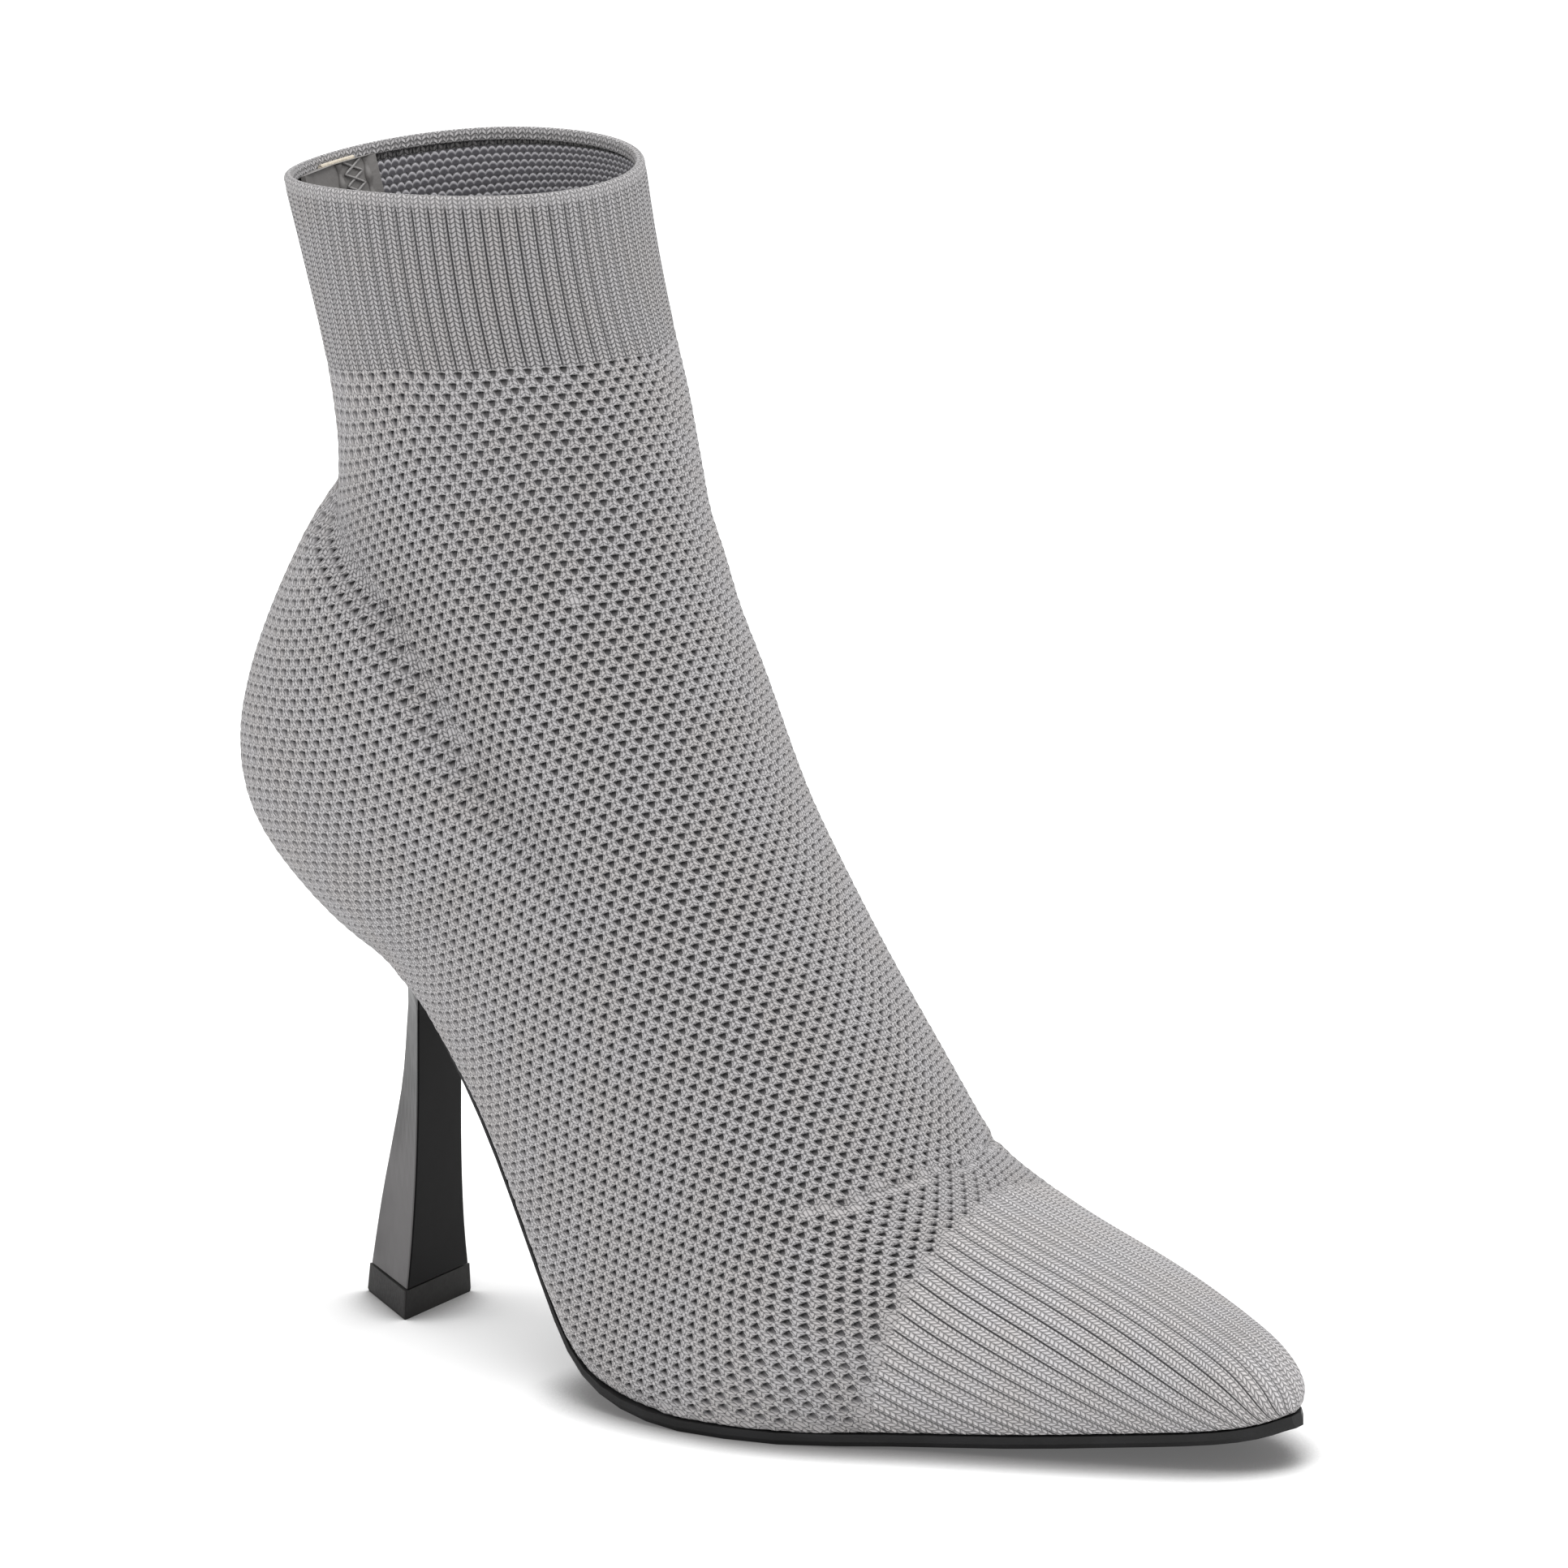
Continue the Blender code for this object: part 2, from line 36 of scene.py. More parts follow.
# The sections of the foot, from the toe tip to the collar. The first five lie lower on top
# than the solids do.
COLUMNS = ("bx", "bz", "fx", "fz", "wide", "edge", "swing", "lean", "belly", "square")
SECTIONS = (
    (0.790, 0.034, 0.794, 0.043, 0.021, 0.016, 0.151, 0.151, 0.45, 2.0),
    (0.782, 0.031, 0.785, 0.060, 0.085, 0.072, 0.151, 0.150, 0.45, 2.1),
    (0.762, 0.026, 0.762, 0.082, 0.145, 0.125, 0.149, 0.146, 0.42, 2.2),
    (0.725, 0.021, 0.732, 0.101, 0.198, 0.178, 0.141, 0.133, 0.40, 2.2),
    (0.667, 0.015, 0.686, 0.124, 0.262, 0.241, 0.131, 0.114, 0.38, 2.2),
    (0.592, 0.008, 0.631, 0.147, 0.330, 0.309, 0.105, 0.092, 0.36, 2.2),
    (0.508, 0.003, 0.574, 0.169, 0.395, 0.375, 0.066, 0.071, 0.34, 2.2),
    (0.425, 0.000, 0.525, 0.190, 0.470, 0.454, 0.020, 0.054, 0.34, 2.2),
    (0.342, 0.000, 0.490, 0.216, 0.500, 0.480, -0.007, 0.040, 0.36, 2.2),
    (0.275, 0.009, 0.465, 0.261, 0.487, 0.460, -0.018, 0.029, 0.40, 2.2),
    (0.227, 0.035, 0.435, 0.316, 0.467, 0.421, -0.026, 0.018, 0.42, 2.2),
    (0.183, 0.096, 0.398, 0.377, 0.447, 0.375, -0.026, 0.010, 0.44, 2.2),
    (0.133, 0.174, 0.362, 0.438, 0.434, 0.322, -0.020, 0.005, 0.46, 2.2),
    (0.077, 0.236, 0.332, 0.495, 0.428, 0.250, -0.013, 0.000, 0.48, 2.2),
    (0.020, 0.284, 0.309, 0.552, 0.421, 0.165, 0.000, 0.000, 0.50, 2.2),
    (-0.036, 0.308, 0.290, 0.604, 0.418, 0.000, 0.000, 0.000, 0.50, 2.2),
    (-0.100, 0.347, 0.273, 0.647, 0.414, 0.000, 0.000, 0.000, 0.50, 2.2),
    (-0.152, 0.401, 0.261, 0.687, 0.408, 0.000, 0.000, 0.000, 0.50, 2.2),
    (-0.171, 0.461, 0.251, 0.721, 0.404, 0.000, 0.000, 0.000, 0.50, 2.1),
    (-0.163, 0.518, 0.243, 0.754, 0.401, 0.000, 0.000, 0.000, 0.50, 2.1),
    (-0.143, 0.575, 0.235, 0.787, 0.399, 0.000, 0.000, 0.000, 0.50, 2.1),
    (-0.114, 0.636, 0.227, 0.817, 0.396, 0.000, 0.000, 0.000, 0.50, 2.1),
    (-0.080, 0.705, 0.215, 0.850, 0.395, 0.000, 0.000, 0.000, 0.50, 2.1),
    (-0.067, 0.784, 0.202, 0.888, 0.400, 0.000, 0.000, 0.000, 0.50, 2.1),
    (-0.084, 0.878, 0.189, 0.940, 0.412, 0.000, 0.000, 0.000, 0.50, 2.1),
    (-0.111, 0.980, 0.178, 1.000, 0.425, 0.000, 0.000, 0.000, 0.50, 2.1),
)
LAST = len(SECTIONS) - 1

# The knit: columns of loops run down the leg to the toe, rows run across
PITCH = 0.00335  # from one rib or hole to the next
ROW = 0.00178  # from one row of holes to the next
STEPS = 6  # grid columns in a pitch
SUBROWS = 3  # grid rows in a row
STITCH = 0.00094  # length of one loop in the ribs
HALF_SPAN = 0.152  # farthest column from the ridge
ROW_GUIDE = -0.025  # the line beside the ridge that spaces the rows
LAST_ROW = 470  # past the toe tip
LEG_ROWS = 122  # last row of the leg's piece
INSTEP_ROWS = 250  # last row of the instep's piece
NO_AREA = 1e-11
TOE_RIB = 1.1  # depth of the toe's ribs against the cuff's
WAVE = 0.00010  # swell of the mesh between its holes
TUCK = 0.0028  # how far the knit turns in under the foot
SHANK_INSET = 0.0013  # bares the sole's edge along the arch
SEAT_SWELL = 0.0012  # covers the rim of the heel
TIP_CAP = 0.0020
TIP_FORWARD = 0.0003

# The holes of the mesh, and the few that the yarn has filled, as stations and distances
HOLE_DEPTH = 0.00100
HOLE_TAPER = 0.86
HOLE_MARGIN = 0.0014
FILLED = ((19.7, -0.0255), (17.5, -0.0280), (9.8, -0.0288), (8.2, -0.0208))
FILLED_RADIUS = 0.0012
FILLED_RUN = 0.010

# The cuff's rows, and the roll over the collar's edge
CUFF_ROWS = 57
ROLL_ROWS = 12
ROLL_RADIUS = 0.00092
ROLL_STEP = 0.00036

# Where the knit changes, as a station against the distance from the ridge
CUFF_LINE = ((0.0, 22.15), (0.015, 22.4), (0.030, 22.8), (0.053, 23.2), (0.110, 23.55))
TOE_LINE = ((0.0, 6.75), (0.030, 6.5), (0.060, 6.25))
# The gore behind the ankle, as a distance from the ridge against the station
GORE_LINE = (
    (11.9, 0.0490), (13.2, 0.0490), (14.2, 0.0540), (15.4, 0.0610), (16.4, 0.0645),
    (17.4, 0.0665), (18.7, 0.0700), (20.1, 0.0780), (21.4, 0.0870), (22.2, 0.0960),
)
# The soft bend before it, where the hollow starts
BEND_LINE = (
    (12.0, 0.0400), (15.0, 0.0460), (17.4, 0.0490), (18.7, 0.0510), (20.1, 0.0540),
    (21.4, 0.0560), (23.2, 0.0540),
)
HOLLOW = 0.0044
HOLLOW_FADE = 0.0060
GORE_FOLD = 0.0004
GORE_WIDTH = 0.0009

# The crease across the vamp, as a station against the distance from the ridge
CREASE_LINE = ((0.0, 7.55), (0.004, 7.70), (0.016, 7.90), (0.029, 8.20), (0.040, 8.9))
CREASE_DEPTH = 0.0006
CREASE_WIDTH = 0.0011
# Width of the painted shade along the vamp's crease
CREASE_SHADE = 0.0005
CREASE_CLEAR = 0.085
CREASE_END = 0.036
STATION_RUN = 0.0125  # length of a station along the vamp


def spline(values, at):
    """Natural cubic spline through values, one unit apart, read at the places in at."""
    values = np.asarray(values, float)
    count = len(values)
    grid = np.eye(count)
    right = np.zeros(count)
    for i in range(1, count - 1):
        grid[i, i - 1 : i + 2] = (1.0, 4.0, 1.0)
        right[i] = 6.0 * (values[i - 1] - 2.0 * values[i] + values[i + 1])
    bend = np.linalg.solve(grid, right)
    at = np.asarray(at, float)
    low = np.clip(np.floor(at).astype(int), 0, count - 2)
    t = at - low
    a = values[low] * (1.0 - t) + values[low + 1] * t
    b = ((1.0 - t) ** 3 - (1.0 - t)) * bend[low]
    c = (t**3 - t) * bend[low + 1]
    return a + (b + c) / 6.0


def unit(vectors):
    size = np.linalg.norm(vectors, axis=-1, keepdims=True)
    return vectors / np.maximum(size, 1e-12)


def smooth(low, high, value):
    """0 below low, 1 above high, smooth between."""
    t = np.clip((np.asarray(value, float) - low) / (high - low), 0.0, 1.0)
    return t * t * (3.0 - 2.0 * t)


def along(line, value):
    """A line given as pairs, read at value."""
    keys, reads = zip(*line)
    return np.interp(value, keys, reads)


class Skin:
    """The boot's outer surface: rows at even stations, columns at even shares of the girth."""

    PER_STATION = 20
    PER_SIDE = 150

    def __init__(self):
        self.at = np.linspace(0.0, LAST, LAST * self.PER_STATION + 1)
        values = {
            name: spline([row[i] for row in SECTIONS], self.at) for i, name in enumerate(COLUMNS)
        }
        sides = [self.side(values, side) for side in (-1.0, 1.0)]
        self.girth = {-1: sides[0][1], 1: sides[1][1]}
        left, right = sides[0][0], sides[1][0]
        self.points = np.concatenate([left, right[:, -2::-1]], axis=1)
        self.outward = self.normals()

    def side(self, values, side):
        """All sections of one side, with their points at even shares, and their girths."""
        rows = []
        girths = []
        for i in range(len(self.at)):
            v = {name: float(column[i]) for name, column in values.items()}
            line = self.section(v, float(self.at[i]), side)
            run = np.concatenate([[0.0], np.cumsum(np.linalg.norm(np.diff(line, axis=0), axis=1))])
            even = np.linspace(0.0, run[-1], self.PER_SIDE + 1)
            rows.append(np.column_stack([np.interp(even, run, line[:, k]) for k in range(3)]))
            girths.append(run[-1])
        return np.array(rows), np.array(girths)

    def section(self, v, at, side):
        """One side of a section, from its foot to its ridge."""
        bz = max(v["bz"], 0.0)
        bz = 0.0 if bz < FLAT_SHARE else bz
        bx, fx = v["bx"] * LENGTH, v["fx"] * LENGTH
        bz, fz = BASE + bz * RISE, BASE + v["fz"] * RISE
        high = np.hypot(fx - bx, fz - bz)
        wide = v["wide"] * BALL_WIDTH
        edge = 0.0 if at >= CLOSING else max(v["edge"], 0.0) * BALL_WIDTH
        power = 2.0 / v["square"]
        start = np.arcsin(min(edge / wide, 0.999) ** (1.0 / power))
        low = np.linspace(start, np.pi / 2, 90)
        top = np.linspace(np.pi / 2, 0.0, 140)[1:]
        cut = np.cos(start) ** power
        h = np.concatenate([
            v["belly"] * (1.0 - np.abs(np.cos(low)) ** power / cut),
            v["belly"] + (1.0 - v["belly"]) * np.abs(np.cos(top)) ** power,
        ])
        w = wide * np.concatenate([np.sin(low) ** power, np.abs(np.sin(top)) ** power])
        w[-1] = 0.0
        y = (v["swing"] + (v["lean"] - v["swing"]) * h) * BALL_WIDTH + side * w
        x = bx + (fx - bx) * h - ORIGIN_SHARE * LENGTH
        z = bz + (fz - bz) * h
        z = z + COLLAR_DIP * smooth(LAST - 3.0, LAST, at) * ((y / wide) ** 2 - 1.0)
        return np.column_stack([x, y, z])

    def normals(self):
        grid = self.points
        across = np.gradient(grid, axis=1)
        shut = self.at >= CLOSING
        across[shut, 0] = across[shut, -1] = grid[shut, 1] - grid[shut, -2]
        out = unit(np.cross(across, np.gradient(grid, axis=0)))
        row, column = len(grid) // 2, grid.shape[1] // 2
        if out[row, column, 0] < 0.0:
            out = -out
        nose = unit(out[:12] + np.array([1.0, 0.0, 0.0]) * np.linspace(1.5, 0.0, 12)[:, None, None])
        out[:12] = nose
        return out

    def reach(self, at, s):
        """Girth of the side that s is on, from the ridge to the sole or the back line."""
        outer, inner = (np.interp(at, self.at, self.girth[side]) for side in (-1, 1))
        return np.where(s < 0.0, outer, inner)

    def read(self, at, s):
        """Points, normals and the distance past the edge, at stations at and signed distances s."""
        at = np.clip(at, 0.0, LAST)
        reach = self.reach(at, s)
        share = np.clip(s / reach, -1.0, 1.0)
        row = at * self.PER_STATION
        column = (share + 1.0) * self.PER_SIDE
        i = np.clip(np.floor(row).astype(int), 0, len(self.at) - 2)
        j = np.clip(np.floor(column).astype(int), 0, 2 * self.PER_SIDE - 1)
        u = (row - i)[..., None]
        v = (column - j)[..., None]

        def mixed(grid):
            low = grid[i, j] * (1 - v) + grid[i, j + 1] * v
            high = grid[i + 1, j] * (1 - v) + grid[i + 1, j + 1] * v
            return low * (1 - u) + high * u

        return mixed(self.points), unit(mixed(self.outward)), np.abs(s) - reach


def make_mesh(name, points, faces, uv=None, marks=None):
    """A smooth mesh from arrays. faces holds quads, with a repeated corner for a triangle."""
    faces = np.asarray(faces)
    corners = points[faces]
    slants = corners[:, 2] - corners[:, 0], corners[:, 3] - corners[:, 1]
    faces = faces[np.linalg.norm(np.cross(*slants), axis=1) > NO_AREA]
    used, back = np.unique(faces, return_inverse=True)
    faces = back.reshape(faces.shape)
    points = points[used]
    mesh = bpy.data.meshes.new(name)
    mesh.vertices.add(len(points))
    mesh.vertices.foreach_set("co", points.astype(np.float32).ravel())
    mesh.loops.add(faces.size)
    mesh.loops.foreach_set("vertex_index", faces.astype(np.int32).ravel())
    mesh.polygons.add(len(faces))
    mesh.polygons.foreach_set("loop_start", np.arange(0, faces.size, 4, dtype=np.int32))
    mesh.polygons.foreach_set("use_smooth", np.ones(len(faces), bool))
    mesh.update(calc_edges=True)
    mesh.validate()
    if uv is not None:
        layer = mesh.uv_layers.new(name="UVMap")
        kept = np.empty(len(mesh.loops), np.int32)
        mesh.loops.foreach_get("vertex_index", kept)
        layer.uv.foreach_set("vector", uv[used][kept].astype(np.float32).ravel())
    for key, values in (marks or {}).items():
        layer = mesh.attributes.new(key, "FLOAT", "POINT")
        layer.data.foreach_set("value", values[used].astype(np.float32))
    piece = bpy.data.objects.new(name, mesh)
    bpy.context.scene.collection.objects.link(piece)
    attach(piece, "root")
    return piece


class Knit:
    """The knit's grid: columns keep their distance from the ridge, rows are evenly spaced."""

    def __init__(self, skin):
        self.skin = skin
        half = int(HALF_SPAN / PITCH) * STEPS
        self.columns = np.arange(-half, half + 1)
        self.s = self.columns * PITCH / STEPS
        at, s = np.meshgrid(skin.at, self.s, indexing="ij")
        here, _, _ = skin.read(at, s)
        middle, _, _ = skin.read(skin.at, np.full(len(skin.at), ROW_GUIDE))
        step = np.linalg.norm(np.diff(here, axis=0), axis=2)
        even = np.linalg.norm(np.diff(middle, axis=0), axis=1)[:, None]
        half_at = 0.5 * (skin.at[1:] + skin.at[:-1])[:, None]
        share = 0.5 + 0.45 * (1.0 - smooth(7.0, 10.0, half_at)) + 0.4 * smooth(20.0, 22.0, half_at)
        step = share * even + (1.0 - share) * step
        total = np.concatenate([np.zeros((1, step.shape[1])), np.cumsum(step, axis=0)])
        cuff = along(CUFF_LINE, np.abs(self.s))
        self.down = np.empty_like(total)
        for j in range(total.shape[1]):
            self.down[:, j] = np.interp(cuff[j], skin.at, total[:, j]) - total[:, j]

    def station(self, row, column):
        """Station of each grid place, from rows of ROW / SUBROWS and columns of the grid."""
        low = np.clip(np.floor(column).astype(int) - self.columns[0], 0, len(self.columns) - 2)
        share = np.clip(column - self.columns[0] - low, 0.0, 1.0)
        top = np.interp(column, self.columns, self.down[-1])
        cuff = -top * np.maximum(row, -CUFF_ROWS) / CUFF_ROWS
        down = np.where(row < 0.0, cuff, row * ROW / SUBROWS)
        out = np.empty(np.shape(down))
        for j in np.unique(low):
            here = low == j
            a = np.interp(-down[here], -self.down[:, j], self.skin.at)
            b = np.interp(-down[here], -self.down[:, j + 1], self.skin.at)
            out[here] = a * (1.0 - share[here]) + b * share[here]
        return out


def gore_depth(at, s):
    """Depth of the hollow behind the ankle bone: a turned plane from a soft bend to the gore."""
    far = np.abs(s)
    gore = along(GORE_LINE, at)
    bend = along(BEND_LINE, at)
    share = np.clip((far - bend) / (gore - bend), 0.0, 1.0)
    front = share**1.3 * (3.0 - share) / 2.0
    back = np.exp(-((np.maximum(far - gore, 0.0) / HOLLOW_FADE) ** 2))
    ends = smooth(12.0, 16.5, at) * (1.0 - smooth(21.2, 23.2, at))
    fold = GORE_FOLD * smooth(11.9, 13.0, at) * (1.0 - smooth(22.5, 23.5, at))
    return (HOLLOW * ends + fold) * front * back


def fold_shade_mark(at, s):
    """1 where shade is painted along the gore's fold and the vamp's crease, 0 away from them."""
    away = np.abs(s) - along(GORE_LINE, at)
    fold = np.exp(-((away / GORE_WIDTH) ** 2)) * smooth(15.0, 18.5, at)
    fold = fold * (1.0 - smooth(22.0, 22.6, at))
    away = (at - along(CREASE_LINE, np.abs(s))) * STATION_RUN
    fade = 1.0 - smooth(0.026, CREASE_END, np.abs(s))
    return np.maximum(fold, 0.8 * fade * np.exp(-((away / CREASE_SHADE) ** 2)))


def crease_depth(at, s):
    """Depth of the fine crease across the vamp."""
    away = (at - along(CREASE_LINE, np.abs(s))) * STATION_RUN
    fade = 1.0 - smooth(0.030, 0.040, np.abs(s))
    return CREASE_DEPTH * fade * np.exp(-((away / CREASE_WIDTH) ** 2))


def hashed(a, b, salt):
    """A repeatable number from -1 to 1 for each pair of whole numbers."""
    v = np.sin(a * 12.9898 + b * 78.233 + salt * 37.719) * 43758.5453
    return 2.0 * (v - np.floor(v)) - 1.0


# Column offsets of one rib: sideways in columns, outward in metres
RIB_SIDE = np.array([0.0, -0.42, -0.10, 0.0, 0.10, 0.42])
RIB_OUT = np.array([-0.00050, 0.00002, 0.00012, 0.00007, 0.00012, 0.00002])


def knit_skin(skin, knit):
    """All of the knitted outside as one grid, with what marks each of its places."""
    rows = np.arange(-CUFF_ROWS - ROLL_ROWS, LAST_ROW)
    columns = knit.columns
    row, column = np.meshgrid(rows.astype(float), columns.astype(float), indexing="ij")
    flat_row, flat_column = row.copy(), column.copy()
    at0 = knit.station(row, column)
    s0 = column * PITCH / STEPS
    toe = at0 < along(TOE_LINE, np.abs(s0))
    cuff = row < 0.5
    ribbed = toe | cuff
    phase = np.mod(columns, STEPS)[None, :] + np.zeros_like(rows)[:, None]

    # In-plane shape of ribs
    deep = smooth(0.0, 4.0, -row) * smooth(-CUFF_ROWS + 1.0, -CUFF_ROWS + 4.5, row) * cuff
    deep = deep + toe * TOE_RIB
    column += np.where(ribbed, RIB_SIDE[phase], 0.0)
    out = np.where(ribbed, RIB_OUT[phase] * deep, 0.0)

    # Hole cells: each one's top row of the rim is row 3r + 1
    cell_row = np.floor_divide(rows, SUBROWS)
    shift = np.where(cell_row % 2 == 0, 0, STEPS // 2)
    cell_column = np.floor((columns[None, :] - shift[:, None]) / STEPS + 0.5).astype(int)
    inside = columns[None, :] - (cell_column * STEPS + shift[:, None])
    sub = np.mod(rows, SUBROWS)[:, None] + np.zeros_like(inside)
    wobble_u = 0.10 * hashed(cell_row[:, None], cell_column, 1.0)
    wobble_v = 0.08 * hashed(cell_row[:, None], cell_column, 2.0)
    size = 1.0 + 0.10 * hashed(cell_row[:, None], cell_column, 3.0)
    plain = ~ribbed
    rim = plain & (np.abs(inside) <= 1) & (sub >= 1)
    du = np.where(sub == 1, 0.52, -0.02) * np.sign(inside) * size
    du = du - np.where((sub == 1) & (inside == -1), 0.12, 0.0)
    above = np.where(inside == 0, -0.55, -0.42)
    below = np.where(inside == 0, 0.72, 0.34)
    dv = np.where(sub == 1, above, below) * size
    column += np.where(rim, du + wobble_u, 0.0)
    row += np.where(rim, dv + wobble_v, 0.0)
    wave = np.cos(2.0 * np.pi * flat_column / STEPS) * np.cos(np.pi * (flat_row / SUBROWS - 0.5))
    out += np.where(plain, -WAVE * wave, 0.0)

    # Places on the skin, then the roll, the folds and the edges along the sole
    at = knit.station(row, column)
    s = column * PITCH / STEPS
    here, away, over = skin.read(at, s)
    edge, _, _ = skin.read(np.full_like(at, LAST - 0.2), s)
    rise = unit(here - edge)
    arc = np.maximum(-CUFF_ROWS - flat_row, 0.0) * ROLL_STEP
    turn = np.clip(arc / ROLL_RADIUS, 0.0, np.pi)
    lift = ROLL_RADIUS * np.sin(turn) - np.maximum(arc - np.pi * ROLL_RADIUS, 0.0)
    roll = rise * lift[..., None] - away * (ROLL_RADIUS * (1.0 - np.cos(turn)))[..., None]
    seat = smooth(13.6, 14.4, at) * (1.0 - smooth(15.6, 17.0, at)) * smooth(-0.016, -0.006, over)
    out = out - gore_depth(at, s) - crease_depth(at, s)
    edge = smooth(-0.0012, 0.0, over)
    out = out * (1.0 - edge)
    here = here + away * (out + SEAT_SWELL * seat)[..., None]
    here = here + np.where(arc[..., None] > 0.0, roll, 0.0)
    tuck = np.clip(over, 0.0, TUCK) * (at < CLOSING)
    low_edge = smooth(-0.0045, 0.0, over) * smooth(7.5, 9.0, at) * (1.0 - smooth(13.4, 14.4, at))
    here[..., 1] -= np.sign(s) * (tuck + SHANK_INSET * low_edge)
    past = np.clip((row * ROW / SUBROWS - knit.down[0][None, :]) / TIP_CAP, 0.0, 1.0)[..., None]
    tip, _, _ = skin.read(np.zeros(2), np.array([-0.01, 0.01]))
    here = here * (1.0 - past) + (tip.mean(axis=0) + np.array([TIP_FORWARD, 0.0, 0.0])) * past
    return dict(rows=rows, columns=columns, at=at, s=s, here=here, away=away, over=over,
                toe=toe, inside=inside, sub=sub)


def hole_places(g):
    """Grid indices of the upper left rim corner of each hole."""
    rows, columns = g["rows"], g["columns"]
    found = []
    for i in range(len(rows) - 2):
        if g["sub"][i, 0] != 1:
            continue
        j = np.nonzero(g["inside"][i] == -1)[0]
        j = j[(j + 2 < len(columns)) & (j > 0)]
        centre = j + 1
        fine = ~g["toe"][i - 1, centre] & ~g["toe"][i + 2, centre] & (rows[i] > 0)
        for k in (i, i + 1):
            fine &= (g["over"][k, j] < -HOLE_MARGIN) & (g["over"][k, j + 2] < -HOLE_MARGIN)
        at, s = g["at"][i, centre], g["s"][i, centre]
        gore = np.abs(np.abs(s) - along(GORE_LINE, at)) < GORE_WIDTH
        fine &= ~(gore & (at > 16.0) & (at < 21.8))
        crease = np.abs(at - along(CREASE_LINE, np.abs(s))) < CREASE_CLEAR
        fine &= ~(crease & (np.abs(s) < CREASE_END))
        for station, place in FILLED:
            fine &= np.hypot((at - station) * FILLED_RUN, s - place) >= FILLED_RADIUS
        found += [(i, int(k)) for k in j[fine]]
    return np.array(found)


def knit_pieces(skin, knit):
    """The knitted outside, cut into pieces, with walls and a floor in each hole."""
    g = knit_skin(skin, knit)
    count = len(g["columns"])
    index = np.arange(g["here"].shape[0] * count).reshape(-1, count)
    quads = np.stack([index[:-1, :-1], index[:-1, 1:], index[1:, 1:], index[1:, :-1]], axis=-1)
    holes = hole_places(g)
    hi, hj = holes[:, 0], holes[:, 1]
    open_cells = np.zeros(quads.shape[:2], bool)
    open_cells[hi, hj] = True
    open_cells[hi, hj + 1] = True

    # The wall and floor of each hole
    rim_i = np.stack([hi, hi, hi, hi + 1, hi + 1, hi + 1], axis=1)
    rim_j = np.stack([hj, hj + 1, hj + 2, hj + 2, hj + 1, hj], axis=1)
    rim = g["here"][rim_i, rim_j]
    away = g["away"][rim_i, rim_j]
    centre = rim.mean(axis=1, keepdims=True)
    depth = np.array([1.05, 1.10, 1.05, 0.70, 0.55, 0.70]) * HOLE_DEPTH
    floor = centre + (rim - centre) * HOLE_TAPER - away * depth[None, :, None]
    start = g["here"].shape[0] * count
    floor_index = start + np.arange(len(holes) * 6).reshape(-1, 6)
    rim_index = index[rim_i, rim_j]
    walls = []
    for k in range(6):
        n = (k + 1) % 6
        wall = [rim_index[:, k], rim_index[:, n], floor_index[:, n], floor_index[:, k]]
        walls.append(np.stack(wall, axis=1))
    floors = [floor_index[:, [0, 1, 4, 5]], floor_index[:, [1, 2, 3, 4]]]
    pit_faces = np.concatenate(walls + floors)
    pit_row = np.tile(g["rows"][hi], 8)

    points = np.concatenate([g["here"].reshape(-1, 3), floor.reshape(-1, 3)])
    u = np.broadcast_to(g["columns"][None, :] / STEPS, g["at"].shape)
    roll = np.maximum(-CUFF_ROWS - g["rows"], 0.0) * (ROLL_STEP / ROW - 1.0 / SUBROWS)
    v = np.broadcast_to((g["rows"] / SUBROWS - roll)[:, None], g["at"].shape)
    uv = np.stack([u, v], axis=-1).reshape(-1, 2)
    uv = np.concatenate([uv, uv[rim_index.ravel()]])
    # pit: 0 outside the holes, 0.5 to 1 on each hole's floor, where 1 on its upper side marks a
    # painted shadow
    pit = np.concatenate([np.zeros(start), np.tile([1.0, 1.0, 1.0, 0.55, 0.5, 0.55], len(holes))])
    # hollow: depth of the hollow behind the ankle, darkened by the mesh's material as painted shade
    gore = gore_depth(g["at"], g["s"]).ravel() / 0.003
    gore = np.concatenate([gore, gore[rim_index.ravel()]])
    # Where a dark line of painted shade runs along the gore's fold and the vamp's crease
    fold_shade = fold_shade_mark(g["at"], g["s"]).ravel()
    fold_shade = np.concatenate([fold_shade, fold_shade[rim_index.ravel()]])
    edge = smooth(-CUFF_ROWS + 3.5, -CUFF_ROWS + 1.0, g["rows"].astype(float))
    edge = np.broadcast_to(edge[:, None], g["at"].shape).ravel()
    edge = np.concatenate([edge, np.zeros(len(floor) * 6)])
    marks = {"pit": pit, "hollow": gore, "fold_shade": fold_shade, "edge": edge}

    row_of = g["rows"][:-1, None] + np.zeros(quads.shape[:2])
    toe_cell = g["toe"][:-1, :-1] & g["toe"][1:, 1:]
    cuff_cell = row_of < 0
    parts = {
        "knit_cuff": cuff_cell,
        "knit_leg": ~cuff_cell & (row_of < LEG_ROWS),
        "knit_instep": (row_of >= LEG_ROWS) & (row_of < INSTEP_ROWS) & ~toe_cell,
        "knit_foot": (row_of >= INSTEP_ROWS) & ~toe_cell,
        "knit_toe": toe_cell & (row_of >= LEG_ROWS),
    }
    spans = {
        "knit_leg": (0, LEG_ROWS),
        "knit_instep": (LEG_ROWS, INSTEP_ROWS),
        "knit_foot": (INSTEP_ROWS, LAST_ROW),
    }
    made = {}
    for name, chosen in parts.items():
        faces = quads[chosen & ~open_cells]
        if name in spans:
            low, high = spans[name]
            faces = np.concatenate([faces, pit_faces[(pit_row >= low) & (pit_row < high)]])
        made[name] = make_mesh(name, points, faces, uv, marks)
        print(name, len(made[name].data.polygons) * 2, "triangles")
    return made


